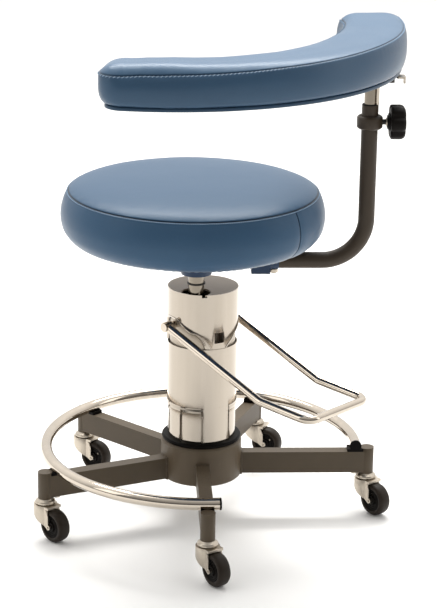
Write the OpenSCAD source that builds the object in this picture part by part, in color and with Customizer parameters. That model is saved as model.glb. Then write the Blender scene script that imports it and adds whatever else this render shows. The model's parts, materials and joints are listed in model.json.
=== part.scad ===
// Foot-pumped stool with five castors, a foot ring, a round seat and a swinging body support.
// The origin is on the floor under the column, and leg 1 lies along +X.

/* [Legs] */
// Distance from the column's axis to each castor's stem
leg_reach = 258; // [220:1:320]
// Width of a leg's tube
leg_w = 20; // [16:1:26]
// Height of a leg's tube
leg_h = 34; // [26:1:42]
// Wall of a leg's tube
leg_wall = 2; // [1.5:0.1:3]
// Angle between neighbouring legs, which leaves a wider gap for the pedal
leg_pitch_angle = 67.5; // [64:0.5:70]
// Outside diameter of a castor socket
socket_d = 22; // [20:0.5:26]
// Height of a castor socket
socket_h = 42; // [38:1:50]

/* [Hub] */
// Width of the hub's rim outside the upper cover
hub_ledge = 8; // [6:0.5:16]
// Height of the hub
hub_h = 61; // [48:1:72]
// Thickness of the hub's floor
hub_floor = 7; // [5:0.5:12]
// Height of the rubber ring on the hub
seal_h = 7; // [4:0.5:10]
// Width of the rubber ring's band
seal_w = 9; // [6:0.5:10]

/* [Foot ring] */
// Distance from a castor's stem in to the foot ring's centre line
ring_inset = 18.5; // [18.5:0.5:50]
// Diameter of the foot ring's tube
ring_d = 18; // [14:0.5:20]
// Wall of the foot ring's tube
ring_wall = 1.5; // [1:0.1:2.5]
// How far the ring runs on past leg 1
ring_over_first = 10; // [8:1:20]
// How far the ring runs on past leg 5
ring_over_last = 17; // [8:1:30]
// Thickness of a saddle under the ring
saddle_t = 1.5; // [1:0.1:4]

/* [Castors] */
// Diameter of a castor's wheel
wheel_d = 50; // [45:1:60]
// Width of a castor's wheel
wheel_w = 21; // [15:0.5:22]
// Distance from a castor's stem to its axle, seen from above
castor_trail = 23; // [18:0.5:26]
// Diameter of a castor's stem
stem_d = 11; // [9:0.5:13]
// Length of a castor's stem
stem_l = 36; // [28:1:38]
// Diameter of a castor's raceway cap
cap_d = 31; // [27:0.5:34]
// Height of a castor's raceway cap
cap_h = 8; // [6:0.5:10]
// Thickness of a castor fork's sheet
fork_t = 2; // [1.5:0.1:2.5]
// Diameter of a castor's axle
axle_d = 6; // [5:0.5:8]

/* [Column] */
// Diameter of the upper cover
column_d = 108; // [105:0.2:112]
// Height of the column's top above the floor
column_top = 368; // [350:1:390]
// Wall of the chromed covers
cover_wall = 1.2; // [0.8:0.1:1.4]
// Height of the upper cover
cover_h = 85.5; // [78:0.5:92]
// Height of the lower sleeve's lip
sleeve_foot = 175; // [160:1:190]
// Height of the arches' crowns above the upper cover's foot
arch_rise = 44.5; // [41.5:0.5:52]
// Distance from the pump body to the outside of the upper cover
body_gap = 4; // [3.5:0.1:5]
// Depth of the pump body's top below the column's top
body_drop = 27; // [18:1:32]
// Thickness of the column's top plate
plate_t = 2.5; // [1.5:0.5:5]
// Diameter of the hole in the top plate
plate_hole = 44; // [34:1:48]

/* [Ram] */
// Diameter of the lifting ram
ram_d = 24; // [20:0.5:25]
// Thickness of the pump body beside the ram
ram_wall = 1; // [1:0.5:8]
// Direction from the column's axis to the ram's
ram_angle = -109; // [-120:1:-100]
// Travel of the seat
lift = 150; // [80:5:160]

/* [Pedal] */
// Diameter of the pedal's rod
pedal_rod = 12.7; // [10:0.1:14]
// Distance from the upper cover to the centre line of each pedal arm
pedal_room = 12; // [11:0.5:20]
// Length of an arm from its shaft to the bend
pedal_arm = 200; // [160:1:220]
// Length from the bend to the cross bar
pedal_toe = 95; // [70:1:110]
// Slope of an arm below the level
arm_slope = 21; // [16:0.5:24]
// Slope of the pedal's toe below the level
toe_slope = 4; // [0:0.5:8]
// Height of the pedal's shaft above the upper cover's foot
shaft_up = 32; // [28.5:0.5:35.5]
// Distance of the shaft behind the column's axis
shaft_back = 12; // [8:0.5:14]
// Diameter of the pedal's shaft
shaft_d = 11; // [8:0.5:12]
// Distance from the shaft to the pump plunger
plunger_arm = 18; // [15:0.5:22]
// Diameter of the pump plunger
plunger_d = 12; // [8:0.5:14]

/* [Seat] */
// Diameter of the seat at its fullest
seat_d = 392; // [340:1:420]
// Height of the seat's underside above the column's top
seat_gap = 79; // [72:1:92]
// Thickness of the seat cushion
seat_h = 100; // [80:1:120]
// Distance of the seat's centre from the ram, away from the support tube
seat_shift = 6; // [0:0.5:12]
// Thickness of the seat board
board_t = 12; // [8:0.5:18]
// Width across the seat plate
seat_plate_w = 220; // [200:1:224]
// Thickness of the seat plate
seat_plate_t = 4; // [3:0.5:6]
// Diameter of the seat's hub
seat_hub_d = 46; // [40:1:54]
// Length of the seat's hub below the plate
seat_hub_l = 45.5; // [40:0.5:52]

/* [Support tube] */
// Diameter of the support tube
tube_d = 24.5; // [22:0.5:28]
// Wall of the support tube
tube_wall = 1.5; // [1.5:0.1:2.5]
// Depth of the support tube's level run below the seat's underside
tube_drop = 28.8; // [23:0.2:37]
// Distance from the seat's rim to the centre line of the upright run
tube_clear = 62; // [50:1:90]
// Radius of the tube's bend along its centre line
tube_bend = 65; // [45:1:80]
// Height of the support tube's top above the seat's underside
tube_rise = 208.5; // [153:0.5:253]
// How far the tube's inner end lies from the ram
tube_start = 54; // [40:1:60]
// How far the tube can be pushed in
reach_in = 15; // [0:1:18]
// How far the tube can be drawn out
reach_out = 35; // [10:1:40]
// Diameter of the collar
collar_d = 38; // [34:0.5:46]
// Height of the collar
collar_h = 19.5; // [16:0.5:30]
// Distance from the tube's top down to the collar
collar_drop = 16; // [8:0.5:30]

/* [Post and knob] */
// Diameter of the chromed post
post_d = 18; // [12:0.2:18]
// Length of the post hidden in the tube
post_hidden = 140; // [120:1:150]
// Travel of the post
post_travel = 100; // [40:5:110]
// Diameter of the star knob
knob_d = 52; // [40:1:60]
// Thickness of the star knob's lobed part
knob_t = 22.5; // [16:0.5:28]
// Number of lobes on the star knob
knob_lobes = 6; // [5:1:8]
// Diameter of the knob's screw
screw_d = 8; // [6:0.5:10]

/* [Pad] */
// Radius of the pad's centre line
pad_r = 303; // [280:1:380]
// Width of the pad along its seam
pad_w = 85; // [70:1:96]
// Radius of the corners at the pad's ends
pad_corner = 28; // [20:1:34]
// Height of the pad's underside above the support tube's top
pad_gap = 48.9; // [40:0.1:85]
// Thickness of the pad board
pad_board_t = 5.3; // [4:0.1:10]
// Thickness of the pad cushion
pad_h = 57; // [45:0.5:75]
// Bulge of the pad's sides past the seam
pad_bulge = 6.5; // [3:0.5:10]
// Direction from the post to the centre of the pad's curve
pad_heading = 166.8; // [150:0.2:180]
// Sweep of the pad to its long end
pad_long_angle = 94; // [60:1:105]
// Sweep of the pad to its short end
pad_short_angle = 25; // [18:1:40]

/* [Hidden] */
$fn = 64;
over = 1; // overrun of a cut
run_gap = 0.05; // radial clearance of a running fit
loose = 0.3; // clearance between pieces that pass each other
leg_count = 5;
headings = [-53, -28, -35, -49, -58]; // where each castor points at rest

paint = [0.24, 0.21, 0.18];
chrome = [0.80, 0.77, 0.73];
vinyl = [0.35, 0.45, 0.57];
black = [0.08, 0.07, 0.06];

// castors
wheel_r = wheel_d / 2;
fork_gap = 3; // room between a wheel and the top of its fork
fork_top = wheel_d + fork_gap + fork_t;
fork_side = 0.6; // room between a wheel and its fork
fork_in = wheel_w / 2 + fork_side;
fork_out = fork_in + fork_t;
fork_back = 17.8; // radius of the fork over its raceway
fork_front = castor_trail - 2;
fork_set = 7; // the cheeks start this far behind the front lip
fork_brow = 4; // depth of the fork's front lip
cheek_r = 6.2;
// the fork's back edge: shares of the way forward to its eye and down to it
fork_share = [[0, 0], [0, 0.27], [0.03, 0.36], [0.14, 0.46]];
rivet_h = 1.4;
rivet_r = axle_d / 2 + rivet_h / 2;
king_d = 8; // the pin that carries the fork
king_head = 13;
king_head_h = 2.5;
socket_z = fork_top + loose + cap_h;
stem_bore = stem_d + 2 * run_gap;

// legs and hub
leg_angles = [for (i = [0 : leg_count - 1]) i * leg_pitch_angle];
leg_lift = 2.8; // the socket reaches this far below the leg
leg_z = socket_z + leg_lift;
leg_top = leg_z + leg_h;
hub_r = column_d / 2 + hub_ledge;
hub_z = socket_z;
hub_top = hub_z + hub_h;
hub_edge = 3; // chamfer of the hub's rims

// foot ring
ring_r = leg_reach - ring_inset;
ring_z = leg_top + saddle_t + ring_d / 2;
ring_from = -asin(ring_over_first / ring_r);
ring_to = leg_angles[leg_count - 1] + asin(ring_over_last / ring_r);
plug_t = 3;
saddle_l = 25;
saddle_up = 3;
ring_screw_d = 6;
plug_in = ring_over_first - ring_screw_d / 2 - 2 * loose; // the plugs end short of the screws
ring_screw_head = 11;
ring_screw_head_h = 4;
saddle_corner = 2;

// column
column_r = column_d / 2;
cover_in = column_r - cover_wall;
cover_foot = column_top - cover_h;
sleeve_step = 0.8;
sleeve_r = column_r - sleeve_step;
sleeve_in = sleeve_r - cover_wall;
skirt_r = sleeve_in - 2 * run_gap;
skirt_in = skirt_r - cover_wall;
sleeve_seam = 1;
sleeve_top = cover_foot - sleeve_seam;
lip_h = 13;
// the lip's outline: shares of its height and of the step to the upper cover
lip_share = [[0, 0], [0.35, 0], [0.62, 1], [0.85, 0.3], [1, 0.8], [1, 0]];
tongue_from = -90;
tongue_to = -41;
slit_w = 2.2;
slit_angles = [-131, tongue_from - 1.3, tongue_to + 1.8, 60, 150];
hatch = -64.5; // middle of the upper cover's front tongue
window_w = 16;
window_up = 9; // height of the window above the cover's foot
window_h = 16.5;
window_low = cover_foot + window_up;
window_high = window_low + window_h;
window_rim = 3; // the pocket behind the window is this much taller at each end
notch_h = 4; // depth of the notch in the upper cover's rim
notch_w = 8;
body_r = column_r - body_gap;
body_foot = hub_z + hub_floor;
body_top = column_top - body_drop;
pillar_d = 10;
pillar_r = body_r - pillar_d;
pillar_angles = [15, 100, 185];
// the arches, as shares of the cover's radius across and of the arch's rise up from the cover's foot
left_arch_angle = -148;
left_share = [
  [-0.62, -0.05], [-0.60, 0.45], [-0.50, 0.80], [-0.34, 0.95], [-0.12, 1.0], [0.10, 0.99],
  [0.25, 0.925], [0.41, 0.77], [0.55, 0.645], [0.67, 0.58], [0.765, 0.53], [0.85, 0.395],
  [0.917, 0.19], [0.955, -0.05]
];
right_arch_angle = -8;
right_share = [
  [-0.735, -0.05], [-0.70, 0.03], [-0.62, 0.16], [-0.51, 0.275], [-0.30, 0.485], [-0.05, 0.59],
  [0.08, 0.625], [0.25, 0.69], [0.42, 0.80], [0.60, 0.90], [0.75, 0.97], [0.75, -0.05]
];
back_arch_angle = 58;
back_share = [
  [-0.55, -0.05], [-0.55, 0.78], [-0.42, 0.88], [-0.24, 0.96], [0, 1.0], [0.26, 0.97],
  [0.45, 0.84], [0.55, 0.60], [0.60, -0.05]
];

// ram
ram_r = ram_d / 2;
ram_offset = body_r - ram_wall - ram_r;
ram_x = ram_offset * cos(ram_angle);
ram_y = ram_offset * sin(ram_angle);
ram_foot = body_foot + 2 * hub_floor;
seat_base = column_top + seat_gap;
hub_low = seat_base - seat_plate_t - seat_hub_l;
hub_high = seat_base - seat_plate_t;
ram_roof = 6; // thickness of the seat hub above the ram
ram_tip = hub_high - ram_roof;
clip_up = 13.5; // height of the retaining ring above the column
clip_z = column_top + clip_up;
clip_h = 2.2;
clip_r = ram_r + 1.6;
clip_groove = 1;
clip_slot = 4;

// pedal
pedal_way = (leg_angles[leg_count - 1] - 360) / 2; // the middle of the wide gap
pedal_w = column_d + 2 * pedal_room;
shaft_z = cover_foot + shaft_up;
knee_r = 30;
corner_r = 17;
shaft_head_h = 2.5;
eye_r = 8;
eye_t = 0.85 * pedal_rod; // the rod's ends are flattened into eyes
shaft_l = pedal_w + eye_t + 2 * loose + 2 * shaft_head_h;
shaft_head_r = 6.6;
rocker_w = 14;
rocker_t = 12;
rocker_drop = 8;
pocket_w = 18;
pocket_back = 12;
pocket_front = 30;
pocket_room = 12; // depth of the pocket below the resting plunger's head
pocket_floor = shaft_z - rocker_drop - pocket_room;
plunger_l = 92;
plunger_dip = 14; // room under the plunger at rest
rest_gap = 0.25;

// release valve
pin_d = 4;
pin_at = body_r - 2 * pin_d; // distance of the pin from the column's axis
pin_foot = 2;
spring_coils = 5;
spring_wire = 1.6;
spring_r = 4.2;
spring_pitch = 3;
spring_rings = 8;
spring_sides = 6;

// seat
seat_x = ram_x - seat_shift;
seat_y = ram_y;
seat_r = seat_d / 2;
board_r = seat_r * 0.81;
bolt_d = 8;
bolt_head = 13;
bolt_head_h = 5;
plate_corner = 12;
bolt_share = 0.36;
// the cushion's outline: shares of the radius and of the height
seat_share = [
  [0.815, 0], [0.845, 0.02], [0.895, 0.058], [0.93, 0.105], [0.96, 0.17], [0.982, 0.24],
  [0.994, 0.325], [1.0, 0.415], [0.998, 0.50], [0.99, 0.59], [0.975, 0.685], [0.958, 0.755],
  [0.947, 0.793], [0.943, 0.802], [0.935, 0.813], [0.905, 0.842], [0.86, 0.872], [0.80, 0.900],
  [0.72, 0.928], [0.60, 0.955], [0.42, 0.980], [0.21, 0.995], [0, 1.0]
];

// bracket and tube
block_l = 28.5;
block_w = 40;
block_out = 81;
block_x = ram_x + block_out;
block_drop = 16.3;
sleeve_l = 13;
sleeve_d = tube_d + 2;
clamp_head = sleeve_l - 2 * loose;
clamp_head_h = 6.5;
clamp_pin = 6;
clamp_edge = 2;
tube_r = tube_d / 2;
tube_z = seat_base - tube_drop;
tube_top = seat_base + tube_rise;
tube_reach = seat_r - seat_shift + tube_clear;
tube_x = ram_x + tube_reach;
tube_y = ram_y;
collar_z = tube_top - collar_drop - collar_h;
collar_edge = 2.5;
knob_z = collar_z + collar_h / 2;
bush_l = 55;
bush_head_h = 1.2;

// knob, from the collar outward
screw_start = post_d / 2 + loose;
knob_gap = 6.5;
washer_d = 13;
washer_t = 2;
knob_hub_d = 28;
knob_hub_t = 4;
knob_bevel = 5;
knob_edge = 1.5;
flute_d = 12;

// post
pad_base = tube_top + pad_gap;
post_foot = tube_top - post_hidden;
mount_plate_w = 62;
mount_plate_l = 62;
mount_plate_t = 10;
mount_low = pad_base - mount_plate_t;
mount_hub_d = 32;
mount_hub_h = 8;
mount_corner = 4;
post_roof = 2; // the mount's thickness above the post
mount_hub_low = mount_low - mount_hub_h;
stop_d = 4.4;
stop_r = (post_d + stop_d) / 2 + loose;
stop_angle = -31;

// pad
pad_x = tube_x + pad_r * cos(pad_heading);
pad_y = tube_y + pad_r * sin(pad_heading);
pad_mid = pad_heading + 180;
end_turn = asin(pad_corner / pad_r);
pad_flat = pad_w / 2 - pad_corner;
pad_from = pad_mid - pad_long_angle + end_turn - 360;
pad_to = pad_mid + pad_short_angle - end_turn - 360;
pad_seat = pad_base + pad_board_t;
// an edge of the pad cushion: shares of a corner's radius with the bulge, and of the cushion's height
pad_share = [
  [0.74, 0], [0.74, 0.015], [0.82, 0.024], [0.89, 0.065], [0.945, 0.15], [0.985, 0.28],
  [1.0, 0.42], [0.99, 0.56], [0.955, 0.68], [0.90, 0.775], [0.845, 0.825], [0.81, 0.844],
  [0.77, 0.866], [0.69, 0.90], [0.58, 0.938], [0.40, 0.976], [0.19, 1.0]
];
pad_arc_steps = 18;
pad_corner_steps = 5;

// lock lever
lever_x = 22;
lever_y = -6;
lever_l = 27;
lever_w = 9;
lever_t = 2.4;
paddle_l = 13;
paddle_w = 20;
paddle_corner = 3;
tip_drop = 8;
lever_pin = 5;
lever_rise = 3;
lever_z = mount_low + lever_rise;
lever_room = 20; // half the width of the slot that the lever swings in

// the sliding pieces stay held at the ends of their travel
assert(body_top - ram_foot > lift + ram_d);
assert(post_hidden > post_travel + post_d / 2);
assert(tube_start - reach_in > seat_hub_d / 2);
assert(tube_start + reach_out < block_out + block_l);

// a straight tube or bar that stands on z
module bar(d, l) {
  cylinder(d = d, h = l);
}

module pipe(r_out, r_in, z0, z1) {
  translate([0, 0, z0])
    difference() {
      cylinder(r = r_out, h = z1 - z0);
      translate([0, 0, -over])
        cylinder(r = r_in, h = z1 - z0 + 2 * over);
    }
}

// a round bar along a bent path: each step is [length, roll, bend angle, bend radius]
module bent_bar(steps, d, i = 0) {
  if (i < len(steps)) {
    s = steps[i];
    rotate([0, 90, 0])
      bar(d, s[0]);
    translate([s[0], 0, 0])
      rotate([s[1], 0, 0]) {
        if (s[2] > 0)
          translate([0, s[3], 0])
            rotate([0, 0, -90])
              rotate_extrude(angle = s[2])
                translate([s[3], 0])
                  circle(d = d);
        translate([s[3] * sin(s[2]), s[3] * (1 - cos(s[2])), 0])
          rotate([0, 0, s[2]])
            rotate([-s[1], 0, 0])
              bent_bar(steps, d, i + 1);
      }
  }
}

// an upright box with rounded corners
module slab(l, w, h, r) {
  linear_extrude(h) {
    square([l - 2 * r, w], center = true);
    square([l, w - 2 * r], center = true);
    for (x = [-1, 1], y = [-1, 1])
      translate([x * (l / 2 - r), y * (w / 2 - r)])
        circle(r);
  }
}

module sector(r, from, to, h) {
  rotate([0, 0, from])
    rotate_extrude(angle = to - from)
      square([r, h]);
}

module at_castor(i) {
  rotate([0, 0, leg_angles[i]])
    translate([leg_reach, 0, 0])
      rotate([0, 0, headings[i] - leg_angles[i]])
        children();
}

module base_hub() {
  color(paint)
    difference() {
      translate([0, 0, hub_z])
        rotate_extrude()
          polygon([
            [0, 0], [hub_r - hub_edge, 0], [hub_r, hub_edge],
            [hub_r, hub_h - hub_edge], [hub_r - hub_edge, hub_h], [0, hub_h]
          ]);
      translate([0, 0, body_foot])
        cylinder(r = body_r + 2 * run_gap, h = hub_h);
    }
}

module leg(i) {
  color(paint)
    rotate([0, 0, leg_angles[i]])
      difference() {
        union() {
          translate([0, -leg_w / 2, leg_z])
            cube([leg_reach, leg_w, leg_h]);
          translate([leg_reach, 0, socket_z])
            cylinder(d = socket_d, h = socket_h);
        }
        translate([0, 0, leg_z - over])
          cylinder(r = hub_r + run_gap / 2, h = leg_h + 2 * over);
        translate([0, leg_wall - leg_w / 2, leg_z + leg_wall])
          cube([leg_reach - socket_d / 2, leg_w - 2 * leg_wall, leg_h - 2 * leg_wall]);
        translate([leg_reach, 0, socket_z - over])
          cylinder(d = stem_bore, h = stem_l + 2 * over);
        translate([ring_r, 0, leg_z - over])
          cylinder(d = ring_screw_d + 2 * run_gap, h = leg_h + 2 * over);
      }
}

module hub_seal() {
  color(black)
    translate([0, 0, hub_top])
      rotate_extrude() {
        translate([skirt_r + run_gap, 0])
          square([seal_w - seal_h / 2, seal_h]);
        translate([skirt_r + run_gap + seal_w - seal_h / 2, seal_h / 2])
          circle(d = seal_h);
      }
}

module ring_arc(d, from, to) {
  translate([0, 0, ring_z])
    rotate([0, 0, from])
      rotate_extrude(angle = to - from)
        translate([ring_r, 0])
          circle(d = d);
}

module at_ring_ends() {
  for (e = [[ring_from, 1], [ring_to, -1]])
    rotate([0, 0, e[0]])
      translate([ring_r, 0, ring_z])
        rotate([90 * e[1], 0, 0])
          children();
}

module foot_ring() {
  color(chrome)
    difference() {
      ring_arc(ring_d, ring_from, ring_to);
      ring_arc(ring_d - 2 * ring_wall, ring_from - over, ring_to + over);
      for (a = leg_angles)
        rotate([0, 0, a])
          translate([ring_r, 0, ring_z - ring_d])
            cylinder(d = ring_screw_d + 2 * run_gap, h = ring_d);
    }
}

module ring_plugs() {
  color(black)
    at_ring_ends() {
      bar(ring_d, plug_t);
      translate([0, 0, -plug_in])
        bar(ring_d - 2 * ring_wall - loose, plug_in + over);
    }
}

module ring_saddles() {
  color(black)
    difference() {
      for (a = leg_angles)
        rotate([0, 0, a])
          translate([ring_r, 0, leg_top])
            slab(saddle_l, leg_w, saddle_t + saddle_up, saddle_corner);
      ring_arc(ring_d + 2 * run_gap, 0, 360);
      for (a = leg_angles)
        rotate([0, 0, a]) {
          translate([ring_r, 0, leg_top - over])
            cylinder(d = ring_screw_d + 2 * run_gap, h = saddle_t + saddle_up + 2 * over);
          translate([leg_reach, 0, leg_top - over])
            cylinder(d = socket_d + 2 * loose, h = saddle_t + saddle_up + 2 * over);
        }
    }
}

module ring_screws() {
  color(chrome)
    for (a = leg_angles)
      rotate([0, 0, a])
        translate([ring_r, 0, leg_z - ring_screw_head_h]) {
          bar(ring_screw_head, ring_screw_head_h);
          bar(ring_screw_d, leg_h + saddle_t + ring_screw_head_h + 2 * ring_wall);
        }
}

module castor_stem(i) {
  color(chrome)
    at_castor(i) {
      translate([0, 0, socket_z - over])
        bar(stem_d, stem_l + over);
      translate([0, 0, fork_top - fork_t - run_gap]) {
        bar(king_d, fork_t + 2 * loose);
        translate([0, 0, -king_head_h])
          bar(king_head, king_head_h);
      }
      translate([0, 0, fork_top + loose])
        rotate_extrude()
          polygon([
            [0, 0], [cap_d / 2 - 0.15 * cap_h, 0], [cap_d / 2, 0.15 * cap_h],
            [cap_d / 2, 0.4 * cap_h], [cap_d / 2 - 0.12 * cap_h, 0.62 * cap_h],
            [cap_d / 2 - 0.4 * cap_h, 0.82 * cap_h], [socket_d / 2, cap_h], [0, cap_h]
          ]);
    }
}

// the fork seen from the side, in the plane of the wheel
module fork_side_view() {
  way = castor_trail - cheek_r + fork_back;
  difference() {
    union() {
      hull() {
        polygon(concat(
          [for (p = fork_share) [p[0] * way - fork_back, fork_top - p[1] * (fork_top - wheel_r)]],
          [[fork_front - fork_set, fork_top - fork_brow], [fork_front - fork_set, fork_top]]
        ));
        translate([castor_trail, wheel_r])
          circle(cheek_r);
      }
      translate([0, fork_top - fork_brow])
        square([fork_front, fork_brow]);
    }
    translate([castor_trail, wheel_r])
      circle(d = axle_d + 2 * run_gap);
  }
}

// the fork seen from above: round over its raceway and straight beside the wheel
module fork_plan(inset, front) {
  circle(fork_back - inset);
  translate([0, inset - fork_out])
    square([front, 2 * (fork_out - inset)]);
}

module castor_fork(i) {
  color(chrome)
    at_castor(i)
      difference() {
        intersection() {
          linear_extrude(fork_top)
            fork_plan(0, fork_front);
          translate([0, fork_back + over, 0])
            rotate([90, 0, 0])
              linear_extrude(2 * (fork_back + over))
                fork_side_view();
        }
        translate([0, 0, -over])
          linear_extrude(fork_top - fork_brow + over)
            fork_plan(fork_t, fork_front + over);
        translate([0, 0, wheel_r])
          linear_extrude(fork_top - fork_t - wheel_r)
            fork_plan(fork_t, fork_front - fork_t);
        translate([0, 0, fork_top - 2 * fork_t])
          cylinder(d = king_d + 2 * run_gap, h = 3 * fork_t);
      }
}

module castor_axle(i) {
  color(chrome)
    at_castor(i)
      translate([castor_trail, 0, wheel_r])
        rotate([90, 0, 0])
          difference() {
            union() {
              cylinder(d = axle_d, h = 2 * fork_out + 2 * rivet_h, center = true);
              for (z = [-fork_out - rivet_h, fork_out])
                translate([0, 0, z])
                  cylinder(r = rivet_r, h = rivet_h);
            }
            for (z = [-1, 1])
              translate([0, 0, z * (fork_out + rivet_h)])
                cylinder(d = axle_d / 2, h = 2 * rivet_h, center = true);
          }
}

module castor_wheel(i) {
  h = wheel_w / 2;
  bore = axle_d / 2 + run_gap;
  color(black)
    at_castor(i)
      translate([castor_trail, 0, wheel_r])
        rotate([90, 0, 0])
          rotate_extrude()
            polygon([
              [bore, -h], [0.30 * wheel_r, -h], [0.36 * wheel_r, -0.72 * h],
              [0.66 * wheel_r, -0.72 * h], [0.72 * wheel_r, -0.92 * h], [0.86 * wheel_r, -0.90 * h],
              [0.95 * wheel_r, -0.68 * h], [0.99 * wheel_r, -0.35 * h], [wheel_r, 0],
              [0.99 * wheel_r, 0.35 * h], [0.95 * wheel_r, 0.68 * h], [0.86 * wheel_r, 0.90 * h],
              [0.72 * wheel_r, 0.92 * h], [0.66 * wheel_r, 0.72 * h], [0.36 * wheel_r, 0.72 * h],
              [0.30 * wheel_r, h], [bore, h]
            ]);
}

module along_pedal() {
  rotate([0, 0, pedal_way])
    translate([-shaft_back, 0, shaft_z])
      children();
}

module pump_body() {
  color(chrome)
    difference() {
      union() {
        translate([0, 0, body_foot])
          cylinder(r = body_r, h = body_top - body_foot);
        for (a = pillar_angles)
          rotate([0, 0, a])
            translate([pillar_r, 0, body_top - over])
              cylinder(d = pillar_d, h = column_top - plate_t - body_top + over);
      }
      translate([ram_x, ram_y, ram_foot])
        cylinder(r = ram_r + run_gap, h = column_top);
      along_pedal() {
        rotate([90, 0, 0])
          cylinder(d = shaft_d + 2 * run_gap, h = 2 * column_r, center = true);
        translate([-pocket_back, -pocket_w / 2, pocket_floor - shaft_z])
          cube([pocket_back + pocket_front, pocket_w, column_top]);
        translate([plunger_arm, 0, pocket_floor - shaft_z - plunger_l - over])
          cylinder(d = plunger_d + 2 * run_gap, h = plunger_l + 2 * over);
      }
      rotate([0, 0, hatch])
        translate([pin_at - spring_r - spring_wire, -window_w / 2, window_low - window_rim])
          cube([column_r, window_w, window_high - window_low + 2 * window_rim]);
    }
}

module column_skirt() {
  color(chrome)
    difference() {
      pipe(skirt_r, skirt_in, hub_top, sleeve_foot + lip_h);
      for (a = slit_angles)
        rotate([0, 0, a])
          translate([0, -slit_w / 2, hub_top - over])
            cube([column_r, slit_w, sleeve_foot + lip_h / 2 - hub_top]);
    }
}

module lower_sleeve() {
  low = hub_top + seal_h + loose;
  color(chrome)
    difference() {
      rotate_extrude()
        polygon(concat(
          [[sleeve_in, low], [sleeve_r, low]],
          [for (s = lip_share) [sleeve_r + s[1] * sleeve_step, sleeve_foot + s[0] * lip_h]],
          [[sleeve_r, sleeve_top], [sleeve_in, sleeve_top]]
        ));
      translate([0, 0, low - over])
        sector(2 * column_r, tongue_to, tongue_from + 360, sleeve_foot - low + over);
      translate([0, 0, sleeve_foot])
        difference() {
          sector(2 * column_r, tongue_from, tongue_to, lip_h + over);
          cylinder(r = sleeve_r + run_gap, h = 2 * lip_h);
        }
    }
}

module arch(outline, angle, reach = column_d) {
  rotate([0, 0, angle])
    rotate([90, 0, 90])
      linear_extrude(reach)
        polygon([for (p = outline) [p[0] * column_r, cover_foot + p[1] * arch_rise]]);
}

module upper_cover() {
  color(chrome)
    difference() {
      pipe(column_r, cover_in, cover_foot, column_top);
      arch(left_share, left_arch_angle);
      arch(right_share, right_arch_angle);
      arch(back_share, back_arch_angle);
      rotate([0, 0, hatch])
        translate([0, -window_w / 2, window_low])
          cube([column_d, window_w, window_high - window_low]);
      rotate([0, 0, -90])
        translate([0, -notch_w / 2, column_top - notch_h])
          cube([column_d, notch_w, over + notch_h]);
    }
}

module top_plate() {
  color([0.53, 0.49, 0.45])
    difference() {
      translate([0, 0, column_top - plate_t])
        cylinder(r = cover_in - 2 * run_gap, h = plate_t);
      translate([ram_x, ram_y, column_top - plate_t - over])
        cylinder(d = plate_hole, h = plate_t + 2 * over);
    }
}

module at_pin() {
  rotate([0, 0, hatch])
    translate([pin_at, 0, window_low - window_rim])
      children();
}

module release_pin() {
  color(chrome)
    at_pin() {
      bar(pin_d, window_high - window_low + 2 * window_rim);
      cylinder(r = spring_r + spring_wire / 2, h = pin_foot);
    }
}

spring_z = pin_foot + spring_wire / 2 + loose;
spring_steps = spring_coils * spring_rings;
function spring_point(i) =
  let (a = i * 360 / spring_rings)
  [spring_r * cos(a), spring_r * sin(a), spring_z + i * spring_pitch / spring_rings];
function spring_ring(i) =
  let (
    a = i * 360 / spring_rings,
    rise = atan2(spring_pitch, 2 * PI * spring_r)
  )
  [for (k = [0 : spring_sides - 1])
    let (b = k * 360 / spring_sides, u = spring_wire / 2 * cos(b), v = spring_wire / 2 * sin(b))
    spring_point(i) + [
      u * cos(a) + v * sin(rise) * sin(a),
      u * sin(a) - v * sin(rise) * cos(a),
      v * cos(rise)
    ]];
function gap_to(i) = min([for (j = [i + spring_rings / 2 : 1 : spring_steps])
  norm(spring_point(i) - spring_point(j)) - spring_wire]);
echo(least_spring_gap = min([for (i = [0 : spring_steps - spring_rings]) gap_to(i)]));

module release_spring() {
  points = [for (i = [0 : spring_steps]) each spring_ring(i)];
  side_faces = [for (i = [0 : spring_steps - 1], k = [0 : spring_sides - 1])
    let (
      a = i * spring_sides + k,
      b = i * spring_sides + (k + 1) % spring_sides,
      c = a + spring_sides,
      d = b + spring_sides
    )
    each [[a, b, d], [a, d, c]]];
  last = spring_steps * spring_sides;
  end_faces = [for (k = [1 : spring_sides - 2]) each [[0, k + 1, k], [last, last + k, last + k + 1]]];
  color(chrome)
    at_pin()
      polyhedron(points = points, faces = concat(side_faces, end_faces));
}

module pump_plunger() {
  color(chrome)
    along_pedal()
      translate([plunger_arm, 0, pocket_floor - shaft_z - plunger_l + plunger_dip])
        bar(plunger_d, plunger_l - plunger_dip + pocket_room - rest_gap);
}

module lift_ram() {
  color(chrome)
    translate([ram_x, ram_y, ram_foot + over])
      difference() {
        bar(ram_d, ram_tip - ram_foot - over);
        translate([0, 0, clip_z - ram_foot - over])
          pipe(ram_d, ram_r - clip_groove, 0, clip_h);
      }
}

module ram_clip() {
  color(black)
    translate([ram_x, ram_y, 0])
      difference() {
        pipe(clip_r, ram_r - clip_groove + run_gap, clip_z, clip_z + clip_h);
        rotate([0, 0, 60])
          translate([0, -clip_slot / 2, clip_z - over])
            cube([ram_d, clip_slot, clip_h + 2 * over]);
      }
}

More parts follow.
